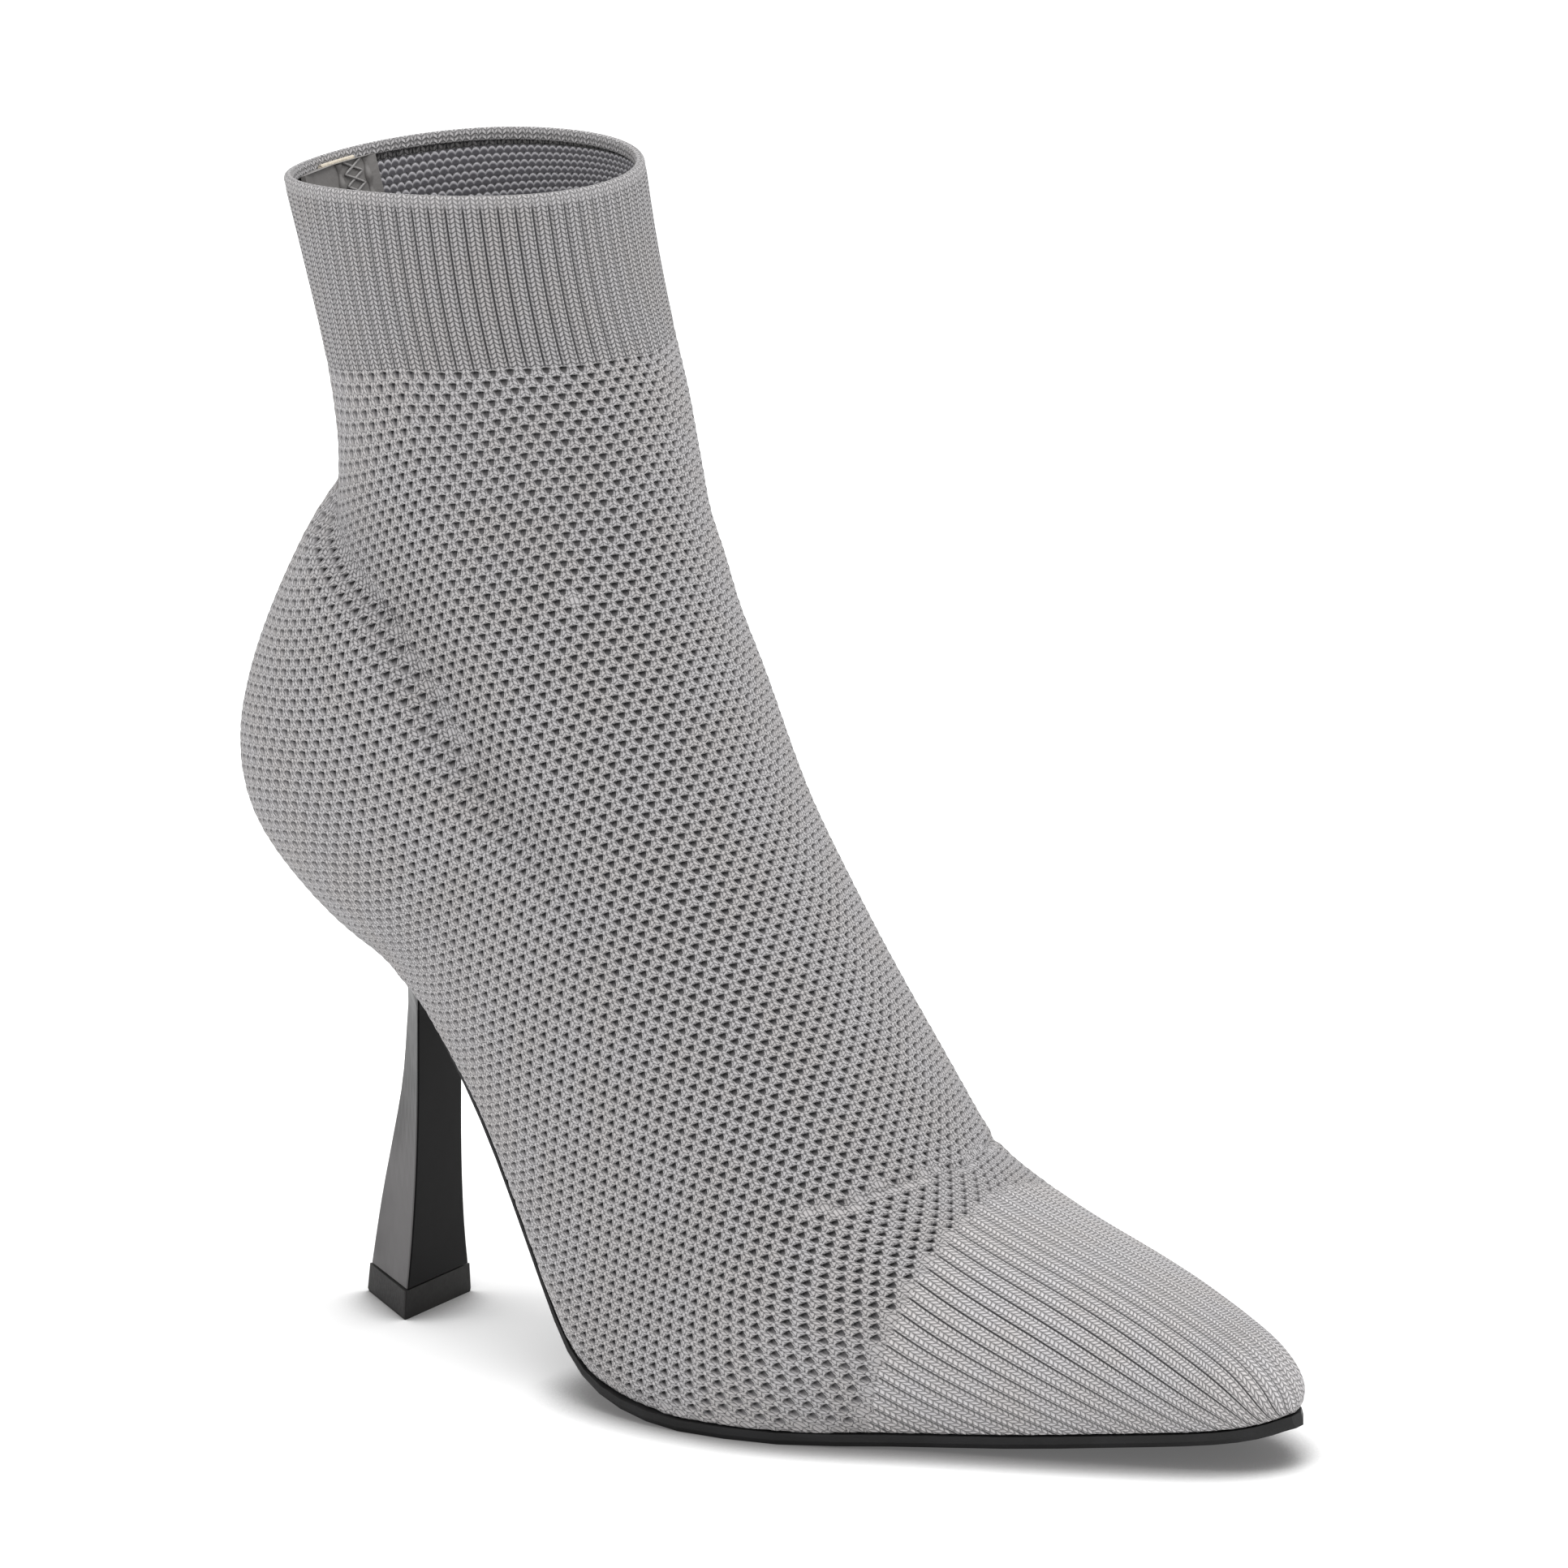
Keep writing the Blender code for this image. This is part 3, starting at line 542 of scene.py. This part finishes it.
class Nodes:
    """Short forms for building a material's node tree."""

    def __init__(self, name):
        self.material = bpy.data.materials.new(name)
        self.material.use_nodes = True
        self.tree = self.material.node_tree
        self.shader = self.tree.nodes["Principled BSDF"]

    def add(self, kind, **settings):
        node = self.tree.nodes.new(kind)
        for key, value in settings.items():
            setattr(node, key, value)
        return node

    def put(self, socket, value):
        if isinstance(value, bpy.types.NodeSocket):
            self.tree.links.new(value, socket)
        else:
            socket.default_value = value

    def math(self, operation, a, b=0.0, c=0.0):
        node = self.add("ShaderNodeMath", operation=operation)
        for socket, value in zip(node.inputs, (a, b, c)):
            self.put(socket, value)
        return node.outputs[0]

    def mix(self, share, a, b):
        node = self.add("ShaderNodeMix", data_type="RGBA")
        self.put(node.inputs["Factor"], share)
        self.put(node.inputs["A"], (*a, 1.0) if isinstance(a, tuple) else a)
        self.put(node.inputs["B"], (*b, 1.0) if isinstance(b, tuple) else b)
        return node.outputs["Result"]

    def ramp(self, value, low, high):
        """0 at low, 1 at high, smooth between."""
        node = self.add("ShaderNodeMapRange", interpolation_type="SMOOTHSTEP")
        for key, number in zip(("Value", "From Min", "From Max"), (value, low, high)):
            self.put(node.inputs[key], number)
        return node.outputs[0]

    def noise(self, scale, detail=2.0):
        node = self.add("ShaderNodeTexNoise")
        self.put(node.inputs["Vector"], self.place())
        self.put(node.inputs["Scale"], scale)
        self.put(node.inputs["Detail"], detail)
        return node.outputs["Fac"]

    def mottled(self, scale, a, b):
        """A soft mixture of two colours."""
        return self.mix(self.ramp(self.noise(scale, 3.0), 0.3, 0.7), a, b)

    def place(self):
        return self.add("ShaderNodeTexCoord").outputs["Object"]

    def mark(self, name):
        return self.add("ShaderNodeAttribute", attribute_name=name).outputs["Fac"]

    def split_uv(self):
        node = self.add("ShaderNodeSeparateXYZ")
        self.put(node.inputs[0], self.add("ShaderNodeUVMap", uv_map="UVMap").outputs[0])
        return node.outputs[0], node.outputs[1]

    def bump(self, height, distance, strength=1.0, under=None):
        node = self.add("ShaderNodeBump")
        self.put(node.inputs["Height"], height)
        self.put(node.inputs["Distance"], distance)
        self.put(node.inputs["Strength"], strength)
        if under is not None:
            self.put(node.inputs["Normal"], under)
        return node.outputs[0]

    def finish(self, colour, roughness, normal=None, **plain):
        colour = (*colour, 1.0) if isinstance(colour, tuple) else colour
        self.put(self.shader.inputs["Base Color"], colour)
        self.put(self.shader.inputs["Roughness"], roughness)
        if normal is not None:
            self.put(self.shader.inputs["Normal"], normal)
        for key, value in plain.items():
            self.shader.inputs[key.replace("_", " ")].default_value = value
        return self.material


YARN = (0.431, 0.420, 0.427)
YARN_WARM = (0.428, 0.408, 0.400)
# Painted shade: the dark put between loops, in the ribs' dots, in pinholes, in the hollow and along
# folds
YARN_SHADE = (0.036, 0.034, 0.037)
YARN_SPECK = (0.30, 0.29, 0.30)
# Painted shade in the grooves between ribs
GROOVE_SHADE = (0.030, 0.029, 0.033)
EDGE_LIGHT = (0.56, 0.545, 0.55)
PIT_WALL = (0.230, 0.222, 0.227)
# Painted shadow on the upper part of each hole's floor, under the hole's top edge
PIT_SHADOW = (0.016, 0.015, 0.016)
YARN_FINISH = dict(Sheen_Weight=0.25, Sheen_Roughness=0.5, Specular_IOR_Level=0.2)
FUZZ_SCALE = 5200.0


def stitch_height(n, u, v, columns, rows):
    """Height of V-shaped loops: columns per unit of u, rows per unit of v."""
    across = n.math("FRACT", n.math("MULTIPLY", u, columns))
    half = n.math("ABSOLUTE", n.math("SUBTRACT", across, 0.5))
    slant = n.math("MULTIPLY_ADD", half, 1.3, n.math("MULTIPLY", v, rows))
    lobe = n.math("SINE", n.math("MULTIPLY", n.math("FRACT", slant), np.pi))
    arm = n.math("SINE", n.math("MULTIPLY", half, 2.0 * np.pi))
    lobe = n.math("POWER", lobe, 0.6)
    arm = n.math("POWER", n.math("MAXIMUM", arm, 0.0), 0.5)
    return n.math("MULTIPLY", lobe, arm)


def yarn_colour(n, height, tone_and_light=1.0, depth=0.92):
    """Mottled grey yarn, with painted shade between its loops."""
    blotch = n.ramp(n.noise(90.0, 3.0), 0.35, 0.65)
    speck = n.ramp(n.noise(2600.0, 1.0), 0.30, 0.70)
    light, warm = (tuple(tone_and_light * c for c in colour) for colour in (YARN, YARN_WARM))
    colour = n.mix(n.math("MULTIPLY", blotch, 0.7), light, warm)
    colour = n.mix(n.math("MULTIPLY", speck, 0.18), colour, YARN_SPECK)
    # The gaps between loops are painted dark as shade
    gap = n.math("SUBTRACT", 1.0, n.ramp(height, 0.10, 0.72))
    return n.mix(n.math("MULTIPLY", gap, depth), colour, YARN_SHADE)


def rib_material(name, tone_and_light, depth, groove_width, dot_share):
    """Ribs of two columns of loops, with a groove on either side."""
    n = Nodes(name)
    u, v = n.split_uv()
    height = stitch_height(n, u, v, 2.0, ROW / STITCH)
    # The groove between ribs and the dotted column in the middle of each, both painted dark as
    # shade
    phase = n.math("ABSOLUTE", n.math("SUBTRACT", n.math("FRACT", n.math("ADD", u, 0.5)), 0.5))
    groove = n.ramp(phase, 0.2 * groove_width, groove_width)
    groove = n.math("MAXIMUM", groove, n.mark("edge"))
    middle = n.ramp(n.math("SUBTRACT", 0.5, phase), 0.0, 0.05)
    dots = n.math("ABSOLUTE", n.math("SINE", n.math("MULTIPLY", v, np.pi * ROW / STITCH)))
    dots = n.math("MAXIMUM", middle, n.ramp(dots, 0.35, 0.75))
    colour = yarn_colour(n, height, tone_and_light, depth)
    # Painted shade in the grooves, then in the dots
    shade = n.math("MULTIPLY", n.math("SUBTRACT", 1.0, groove), 0.92)
    colour = n.mix(shade, colour, GROOVE_SHADE)
    shade = n.math("MULTIPLY", n.math("SUBTRACT", 1.0, dots), dot_share)
    colour = n.mix(shade, colour, YARN_SHADE)
    colour = n.mix(n.math("MULTIPLY", n.mark("edge"), 0.32), colour, EDGE_LIGHT)
    high = n.math("MULTIPLY", height, n.math("MULTIPLY", groove, dots))
    fuzz = n.bump(n.noise(FUZZ_SCALE), 0.00005, 0.6)
    normal = n.bump(high, 0.00060, 1.0, fuzz)
    return n.finish(colour, 0.92, normal, **YARN_FINISH)


def mesh_material():
    """Open mesh: loops, the grey lining in each hole with a painted shadow on its upper part,
    pinholes beside them painted dark as shade, and painted shade in the hollow behind the ankle and
    along the gore's fold and the vamp's crease.
    """
    n = Nodes("mesh_knit")
    u, v = n.split_uv()
    height = stitch_height(n, u, v, 2.0, 2.0)
    # Pinholes beside each hole, placed in the cell of the staggered holes and painted dark as shade
    half_v = n.math("MULTIPLY", n.math("SUBTRACT", v, 0.53), 0.5)
    a = n.math("ADD", u, half_v)
    b = n.math("SUBTRACT", u, half_v)
    dots = None
    for du, dv, size in ((0.47, -0.12, 0.085), (0.27, 0.45, 0.055), (-0.27, 0.45, 0.055)):
        da = n.math("SUBTRACT", n.math("FRACT", n.math("ADD", a, 0.5 - (du + dv / 2))), 0.5)
        db = n.math("SUBTRACT", n.math("FRACT", n.math("ADD", b, 0.5 - (du - dv / 2))), 0.5)
        x = n.math("MULTIPLY", n.math("ADD", da, db), 0.5)
        y = n.math("MULTIPLY", n.math("SUBTRACT", da, db), ROW / PITCH)
        away = n.math("SQRT", n.math("ADD", n.math("MULTIPLY", x, x), n.math("MULTIPLY", y, y)))
        dot = n.ramp(away, size * 0.35, size)
        dots = dot if dots is None else n.math("MULTIPLY", dots, dot)
    colour = yarn_colour(n, n.math("MULTIPLY_ADD", height, 0.85, 0.15))
    # Painted shade in the pinholes
    colour = n.mix(n.math("MULTIPLY", n.math("SUBTRACT", 1.0, dots), 0.85), colour, YARN_SHADE)
    # Painted shade in the hollow behind the ankle and along the gore's fold and the vamp's crease,
    # broken by the loops
    shade = n.math("MULTIPLY_ADD", n.mark("hollow"), 0.14, n.math("MULTIPLY", n.mark("fold_shade"), 0.75))
    shade = n.math("MULTIPLY", shade, n.math("SUBTRACT", 1.15, height))
    colour = n.mix(n.math("MINIMUM", shade, 0.8), colour, YARN_SHADE)
    # Inside each hole: the grey lining, with a painted shadow on its upper part
    pit = n.mark("pit")
    lining = n.mix(n.ramp(pit, 0.55, 0.95), PIT_WALL, PIT_SHADOW)
    colour = n.mix(n.ramp(pit, 0.04, 0.5), colour, lining)
    fuzz = n.bump(n.noise(FUZZ_SCALE), 0.00005, 0.6)
    normal = n.bump(n.math("MULTIPLY", height, dots), 0.00034, 1.0, fuzz)
    return n.finish(colour, 0.92, normal, **YARN_FINISH)


def inner_material():
    """Purl loops: rows of small arcs, each row shifted half a loop, the arcs in light grey yarn and
    the gaps between them painted dark as shade.
    """
    n = Nodes("purl_lining")
    u, v = n.split_uv()
    odd = n.math("MULTIPLY", n.math("FLOOR", v), 0.5)
    across = n.math("SUBTRACT", n.math("FRACT", n.math("ADD", u, odd)), 0.5)
    up = n.math("FRACT", v)
    bow = n.math("MULTIPLY", n.math("MULTIPLY", across, across), 1.8)
    line = n.math("SUBTRACT", up, n.math("ADD", bow, 0.15))
    lobe = n.math("SUBTRACT", 1.0, n.ramp(n.math("ABSOLUTE", line), 0.0, 0.42))
    # Painted shade in the gaps between the loop arcs
    colour = n.mix(lobe, (0.075, 0.072, 0.082), (0.480, 0.470, 0.495))
    normal = n.bump(lobe, 0.0005, 1.0)
    return n.finish(colour, 0.85, normal, Sheen_Weight=0.2)


LINING_COLUMNS = 181
LINING_DEPTH = WALL * 0.86


def make_lining(skin):
    """The inside of the knit, a wall's thickness within."""
    stations = np.concatenate([np.linspace(LAST - 0.12, 21.0, 90), np.linspace(20.8, 1.0, 110)])
    shares = np.linspace(-1.0, 1.0, LINING_COLUMNS)
    at, share = np.meshgrid(stations, shares, indexing="ij")
    s = share * skin.reach(at, share)
    here, away, _ = skin.read(at, s)
    inner = here - away * (LINING_DEPTH + gore_depth(at, s)[..., None])
    step = np.linalg.norm(np.diff(here[:, LINING_COLUMNS // 2], axis=0), axis=1)
    run = np.concatenate([[0.0], np.cumsum(step)])
    uv = np.stack([s / (PITCH / 2), np.broadcast_to(run[:, None] / STITCH, s.shape)], axis=-1)
    index = np.arange(inner.size // 3).reshape(-1, LINING_COLUMNS)
    quads = np.stack([index[:-1, :-1], index[1:, :-1], index[1:, 1:], index[:-1, 1:]], axis=-1)
    quads = quads.reshape(-1, 4)
    piece = make_mesh("knit_lining", inner.reshape(-1, 3), quads, uv.reshape(-1, 2))
    piece.data.materials.append(inner_material())


def heel_material():
    """Black plastic: satin sides with a painted highlight, lighter towards the bottom and broken
    into soft blotches, and a duller front face painted darker as shade.
    """
    n = Nodes("heel_satin")
    parts = n.add("ShaderNodeSeparateXYZ")
    n.put(parts.inputs[0], n.add("ShaderNodeTexCoord").outputs["Normal"])
    # The front face is painted darker than the sides, as shade
    front = n.ramp(parts.outputs[0], 0.35, 0.70)
    place = n.add("ShaderNodeSeparateXYZ")
    n.put(place.inputs[0], n.place())
    # Painted highlight on the sides: lighter towards the bottom, broken into soft blotches
    low = n.math("SUBTRACT", 1.0, n.ramp(place.outputs[2], 0.026, 0.052))
    mottle = n.ramp(n.noise(60.0, 3.0), 0.35, 0.65)
    lit = n.math("MULTIPLY", low, n.math("MULTIPLY_ADD", mottle, 0.3, 0.7))
    side = n.mix(lit, (0.004, 0.0036, 0.0038), (0.075, 0.071, 0.072))
    colour = n.mix(front, side, (0.002, 0.0018, 0.0019))
    rough = n.math("MULTIPLY_ADD", n.noise(300.0, 2.0), 0.1, 0.30)
    rough = n.math("MAXIMUM", rough, n.math("MULTIPLY", front, 0.55))
    normal = n.bump(n.noise(55.0, 2.0), 0.0004, 0.30)
    return n.finish(colour, rough, normal, Specular_IOR_Level=0.12)


def sole_material():
    n = Nodes("sole_rubber")
    grain = n.noise(1500.0, 3.0)
    colour = n.mottled(60.0, (0.008, 0.008, 0.008), (0.014, 0.014, 0.015))
    rough = n.math("MULTIPLY_ADD", grain, 0.2, 0.5)
    return n.finish(colour, rough, n.bump(grain, 0.00008, 0.6), Specular_IOR_Level=0.25)


def top_piece_material():
    n = Nodes("top_piece_rubber")
    grain = n.noise(1100.0, 3.0)
    colour = n.mottled(80.0, (0.014, 0.013, 0.013), (0.024, 0.023, 0.022))
    rough = n.math("MULTIPLY_ADD", grain, 0.2, 0.55)
    return n.finish(colour, rough, n.bump(grain, 0.0001, 0.6), Specular_IOR_Level=0.25)


def insole_material():
    n = Nodes("insole_lining")
    grain = n.noise(1400.0, 3.0)
    colour = n.mottled(45.0, (0.40, 0.39, 0.38), (0.33, 0.32, 0.31))
    return n.finish(colour, 0.75, n.bump(grain, 0.0001, 0.5))


def stay_material():
    n = Nodes("stay_leather")
    grain = n.add("ShaderNodeTexVoronoi")
    n.put(grain.inputs["Vector"], n.place())
    grain.inputs["Scale"].default_value = 1500.0
    colour = n.mottled(120.0, (0.205, 0.196, 0.190), (0.160, 0.153, 0.148))
    rough = n.math("MULTIPLY_ADD", n.noise(300.0, 2.0), 0.2, 0.34)
    return n.finish(colour, rough, n.bump(grain.outputs["Distance"], 0.00008, 0.5))


def plain_material(name, colour, rough, grain_size):
    n = Nodes(name)
    grain = n.noise(grain_size, 2.0)
    shade = n.mix(n.ramp(grain, 0.35, 0.65), colour, tuple(0.72 * c for c in colour))
    return n.finish(shade, rough, n.bump(grain, 0.00008, 0.6))


TUBE_SIDES = 8


def tube(name, line, radius, material):
    """A round thread along a line of points."""
    line = np.asarray(line, float)
    run = unit(np.gradient(line, axis=0))
    first = unit(np.cross(run, np.array([0.3, 0.9, 0.2])))
    second = np.cross(run, first)
    turn = np.linspace(0.0, 2.0 * np.pi, TUBE_SIDES, endpoint=False)[None, :, None]
    ring = line[:, None] + radius * (first[:, None] * np.cos(turn) + second[:, None] * np.sin(turn))
    index = np.arange(len(line) * TUBE_SIDES).reshape(-1, TUBE_SIDES)
    beside = np.roll(index, -1, axis=1)
    quads = np.stack([index[:-1], beside[:-1], beside[1:], index[1:]], axis=-1).reshape(-1, 4)
    ends = [index[0, [0, 1, 2, 3]], index[0, [0, 3, 4, 7]], index[0, [4, 5, 6, 7]]]
    ends += [index[-1, [3, 2, 1, 0]], index[-1, [7, 4, 3, 0]], index[-1, [7, 6, 5, 4]]]
    piece = make_mesh(name, ring.reshape(-1, 3), np.concatenate([quads, np.array(ends)]))
    piece.data.materials.append(material)


def stay_point(skin, at, across, depth):
    """A point inside the back of the collar, across from the back line and depth below the skin."""
    at, across = np.broadcast_arrays(np.asarray(at, float), np.asarray(across, float))
    side = np.where(across < 0.0, -1.0, 1.0)
    s = side * (skin.reach(at, side) - np.abs(across))
    here, away, _ = skin.read(at, s)
    return here - away * np.broadcast_to(depth, at.shape)[..., None]


STAY_DEPTH = 0.0030
STAY_SEAM = 0.0060
STAY_TURNS = 15
TURN_POINTS = 16
ZIGZAG = 0.0026
SEAM_HALF = 0.0040
THREAD = 0.00024


def make_stay_trim(skin):
    """The zigzag stitching down the back of the stay, its gathered seam and its raw top edge."""
    thread = plain_material("stay_thread", (0.33, 0.32, 0.315), 0.6, 4000.0)
    at = np.linspace(LAST - 0.06, 22.0, STAY_TURNS * TURN_POINTS + 1)
    wave = 2.0 * np.abs(2.0 * ((np.arange(len(at)) / TURN_POINTS) % 1.0) - 1.0) - 1.0
    for name, sign in (("stay_stitch_a", 1.0), ("stay_stitch_b", -1.0)):
        lift = STAY_DEPTH + THREAD * (1.7 + 0.7 * (1.0 - np.abs(wave)) * (sign > 0))
        line = stay_point(skin, at, STAY_SEAM + sign * ZIGZAG * wave, lift)
        tube(name, line, THREAD, thread)
    lining = stay_material()
    sides = (("stay_roll_a", STAY_SEAM + SEAM_HALF), ("stay_roll_b", STAY_SEAM - SEAM_HALF))
    for name, place in sides:
        swell = 0.0007 + 0.00022 * np.sin(np.arange(len(at)) * 0.42 + place * 900.0)
        line = stay_point(skin, at, np.full(len(at), place), STAY_DEPTH)
        tube(name, line, swell[:, None, None], lining)
    edge = plain_material("stay_raw_edge", (0.62, 0.56, 0.46), 0.85, 2500.0)
    across = np.linspace(STAY_SEAM - 0.0095, STAY_SEAM + 0.0015, 40)
    top = stay_point(skin, LAST - 0.045, across, WALL + 0.0009)
    tube("stay_edge", top, 0.00050, edge)


FLOOR_SIZE = 14.0
SHADE_REACH = 0.015  # how far the painted shadow under the boot reaches
# Colour of the painted shadow on the floor
SHADE_DARK = (0.12, 0.115, 0.115)
PAPER = (0.93, 0.93, 0.93)
WORLD_LIGHT = 1.1
LAMP_AIM = (0.0, 0.0, 0.10)
LAMPS = (
    ("key", (-1.5, -1.1, 1.3), 1.0, 7.0),
    ("top", (0.3, 0.1, 2.0), 1.4, 20.0),
    ("front", (0.45, -0.65, 0.22), 0.5, 0.4),
)


def floor_and_light():
    """A white floor with a painted shadow where the boot stands, an even sky and three soft lamps.
    """
    bpy.ops.mesh.primitive_plane_add(size=FLOOR_SIZE, location=(0.0, 0.0, 0.0))
    floor = bpy.context.object
    floor.name = "floor"
    n = Nodes("floor_paper")
    # Painted shadow: the floor darkens where the occlusion node finds the boot near
    near = n.add("ShaderNodeAmbientOcclusion", samples=8)
    near.inputs["Distance"].default_value = SHADE_REACH
    white = n.mix(n.ramp(near.outputs["AO"], 0.42, 0.97), SHADE_DARK, PAPER)
    n.finish(white, 0.9, n.bump(n.noise(30.0, 2.0), 0.0001, 0.05), Specular_IOR_Level=0.1,
             Emission_Color=(1.0, 1.0, 1.0, 1.0), Emission_Strength=0.12)
    floor.data.materials.append(n.material)
    world = bpy.data.worlds.new("studio")
    bpy.context.scene.world = world
    world.use_nodes = True
    back = world.node_tree.nodes["Background"]
    back.inputs["Color"].default_value = (1.0, 1.0, 1.0, 1.0)
    back.inputs["Strength"].default_value = WORLD_LIGHT
    bpy.context.scene.view_settings.view_transform = "Standard"
    for name, place, size, power in LAMPS:
        light = bpy.data.lights.new(name, "AREA")
        light.size = size
        light.energy = power
        lamp = bpy.data.objects.new(name, light)
        lamp.location = place
        aim = Vector(LAMP_AIM) - Vector(place)
        lamp.rotation_mode = "QUATERNION"
        lamp.rotation_quaternion = aim.to_track_quat("-Z", "Y")
        bpy.context.scene.collection.objects.link(lamp)


# The camera, from the photo's angle to the boot
AZIMUTH = np.radians(34.0)
ELEVATION = np.radians(16.0)
DISTANCE = 2.6
TARGET = Vector((-0.017756, 0.011984, 0.1150))
PIXELS_PER_METRE = 6450.0
FRAME_PIXELS = 1932.0
SENSOR = 36.0


def place_camera():
    back = Vector((
        np.sin(AZIMUTH) * np.cos(ELEVATION),
        -np.cos(AZIMUTH) * np.cos(ELEVATION),
        np.sin(ELEVATION),
    ))
    lens = bpy.data.cameras.new("camera")
    lens.sensor_width = SENSOR
    lens.lens = SENSOR * PIXELS_PER_METRE * DISTANCE / FRAME_PIXELS
    lens.clip_start = 0.1
    lens.clip_end = 30.0
    camera = bpy.data.objects.new("camera", lens)
    camera.location = TARGET + back * DISTANCE
    camera.rotation_mode = "QUATERNION"
    camera.rotation_quaternion = (-back).to_track_quat("-Z", "Y")
    bpy.context.scene.collection.objects.link(camera)
    bpy.context.scene.camera = camera


def dress(node, material):
    node.data.materials.clear()
    node.data.materials.append(material)


def corners(box):
    return [[round(float(v), 6) for v in corner] for corner in box]


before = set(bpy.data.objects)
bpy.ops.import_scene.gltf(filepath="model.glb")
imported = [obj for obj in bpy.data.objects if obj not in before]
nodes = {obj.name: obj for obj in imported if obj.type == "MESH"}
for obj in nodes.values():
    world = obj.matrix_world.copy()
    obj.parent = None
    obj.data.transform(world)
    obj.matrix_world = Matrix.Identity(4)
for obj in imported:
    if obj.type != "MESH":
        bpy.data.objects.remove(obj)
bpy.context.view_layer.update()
skin = Skin()
knit = Knit(skin)
pieces = knit_pieces(skin, knit)
mesh = mesh_material()
finishes = {
    "knit_cuff": rib_material("rib_knit", 0.97, 0.95, 0.13, 0.80),
    # The toe's yarn is made 1.44 times lighter as painted light, standing in for the stronger top
    # light on its upward faces
    "knit_toe": rib_material("toe_knit", 1.44, 0.66, 0.125, 0.22),
}
for name, piece in pieces.items():
    piece.data.materials.append(finishes.get(name, mesh))
    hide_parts("upper_knit")
make_lining(skin)
make_stay_trim(skin)
dress(nodes["heel"], heel_material())
dress(nodes["outsole"], sole_material())
dress(nodes["heel_top_piece"], top_piece_material())
dress(nodes["insole"], insole_material())
dress(nodes["back_stay"], stay_material())
floor_and_light()
place_camera()
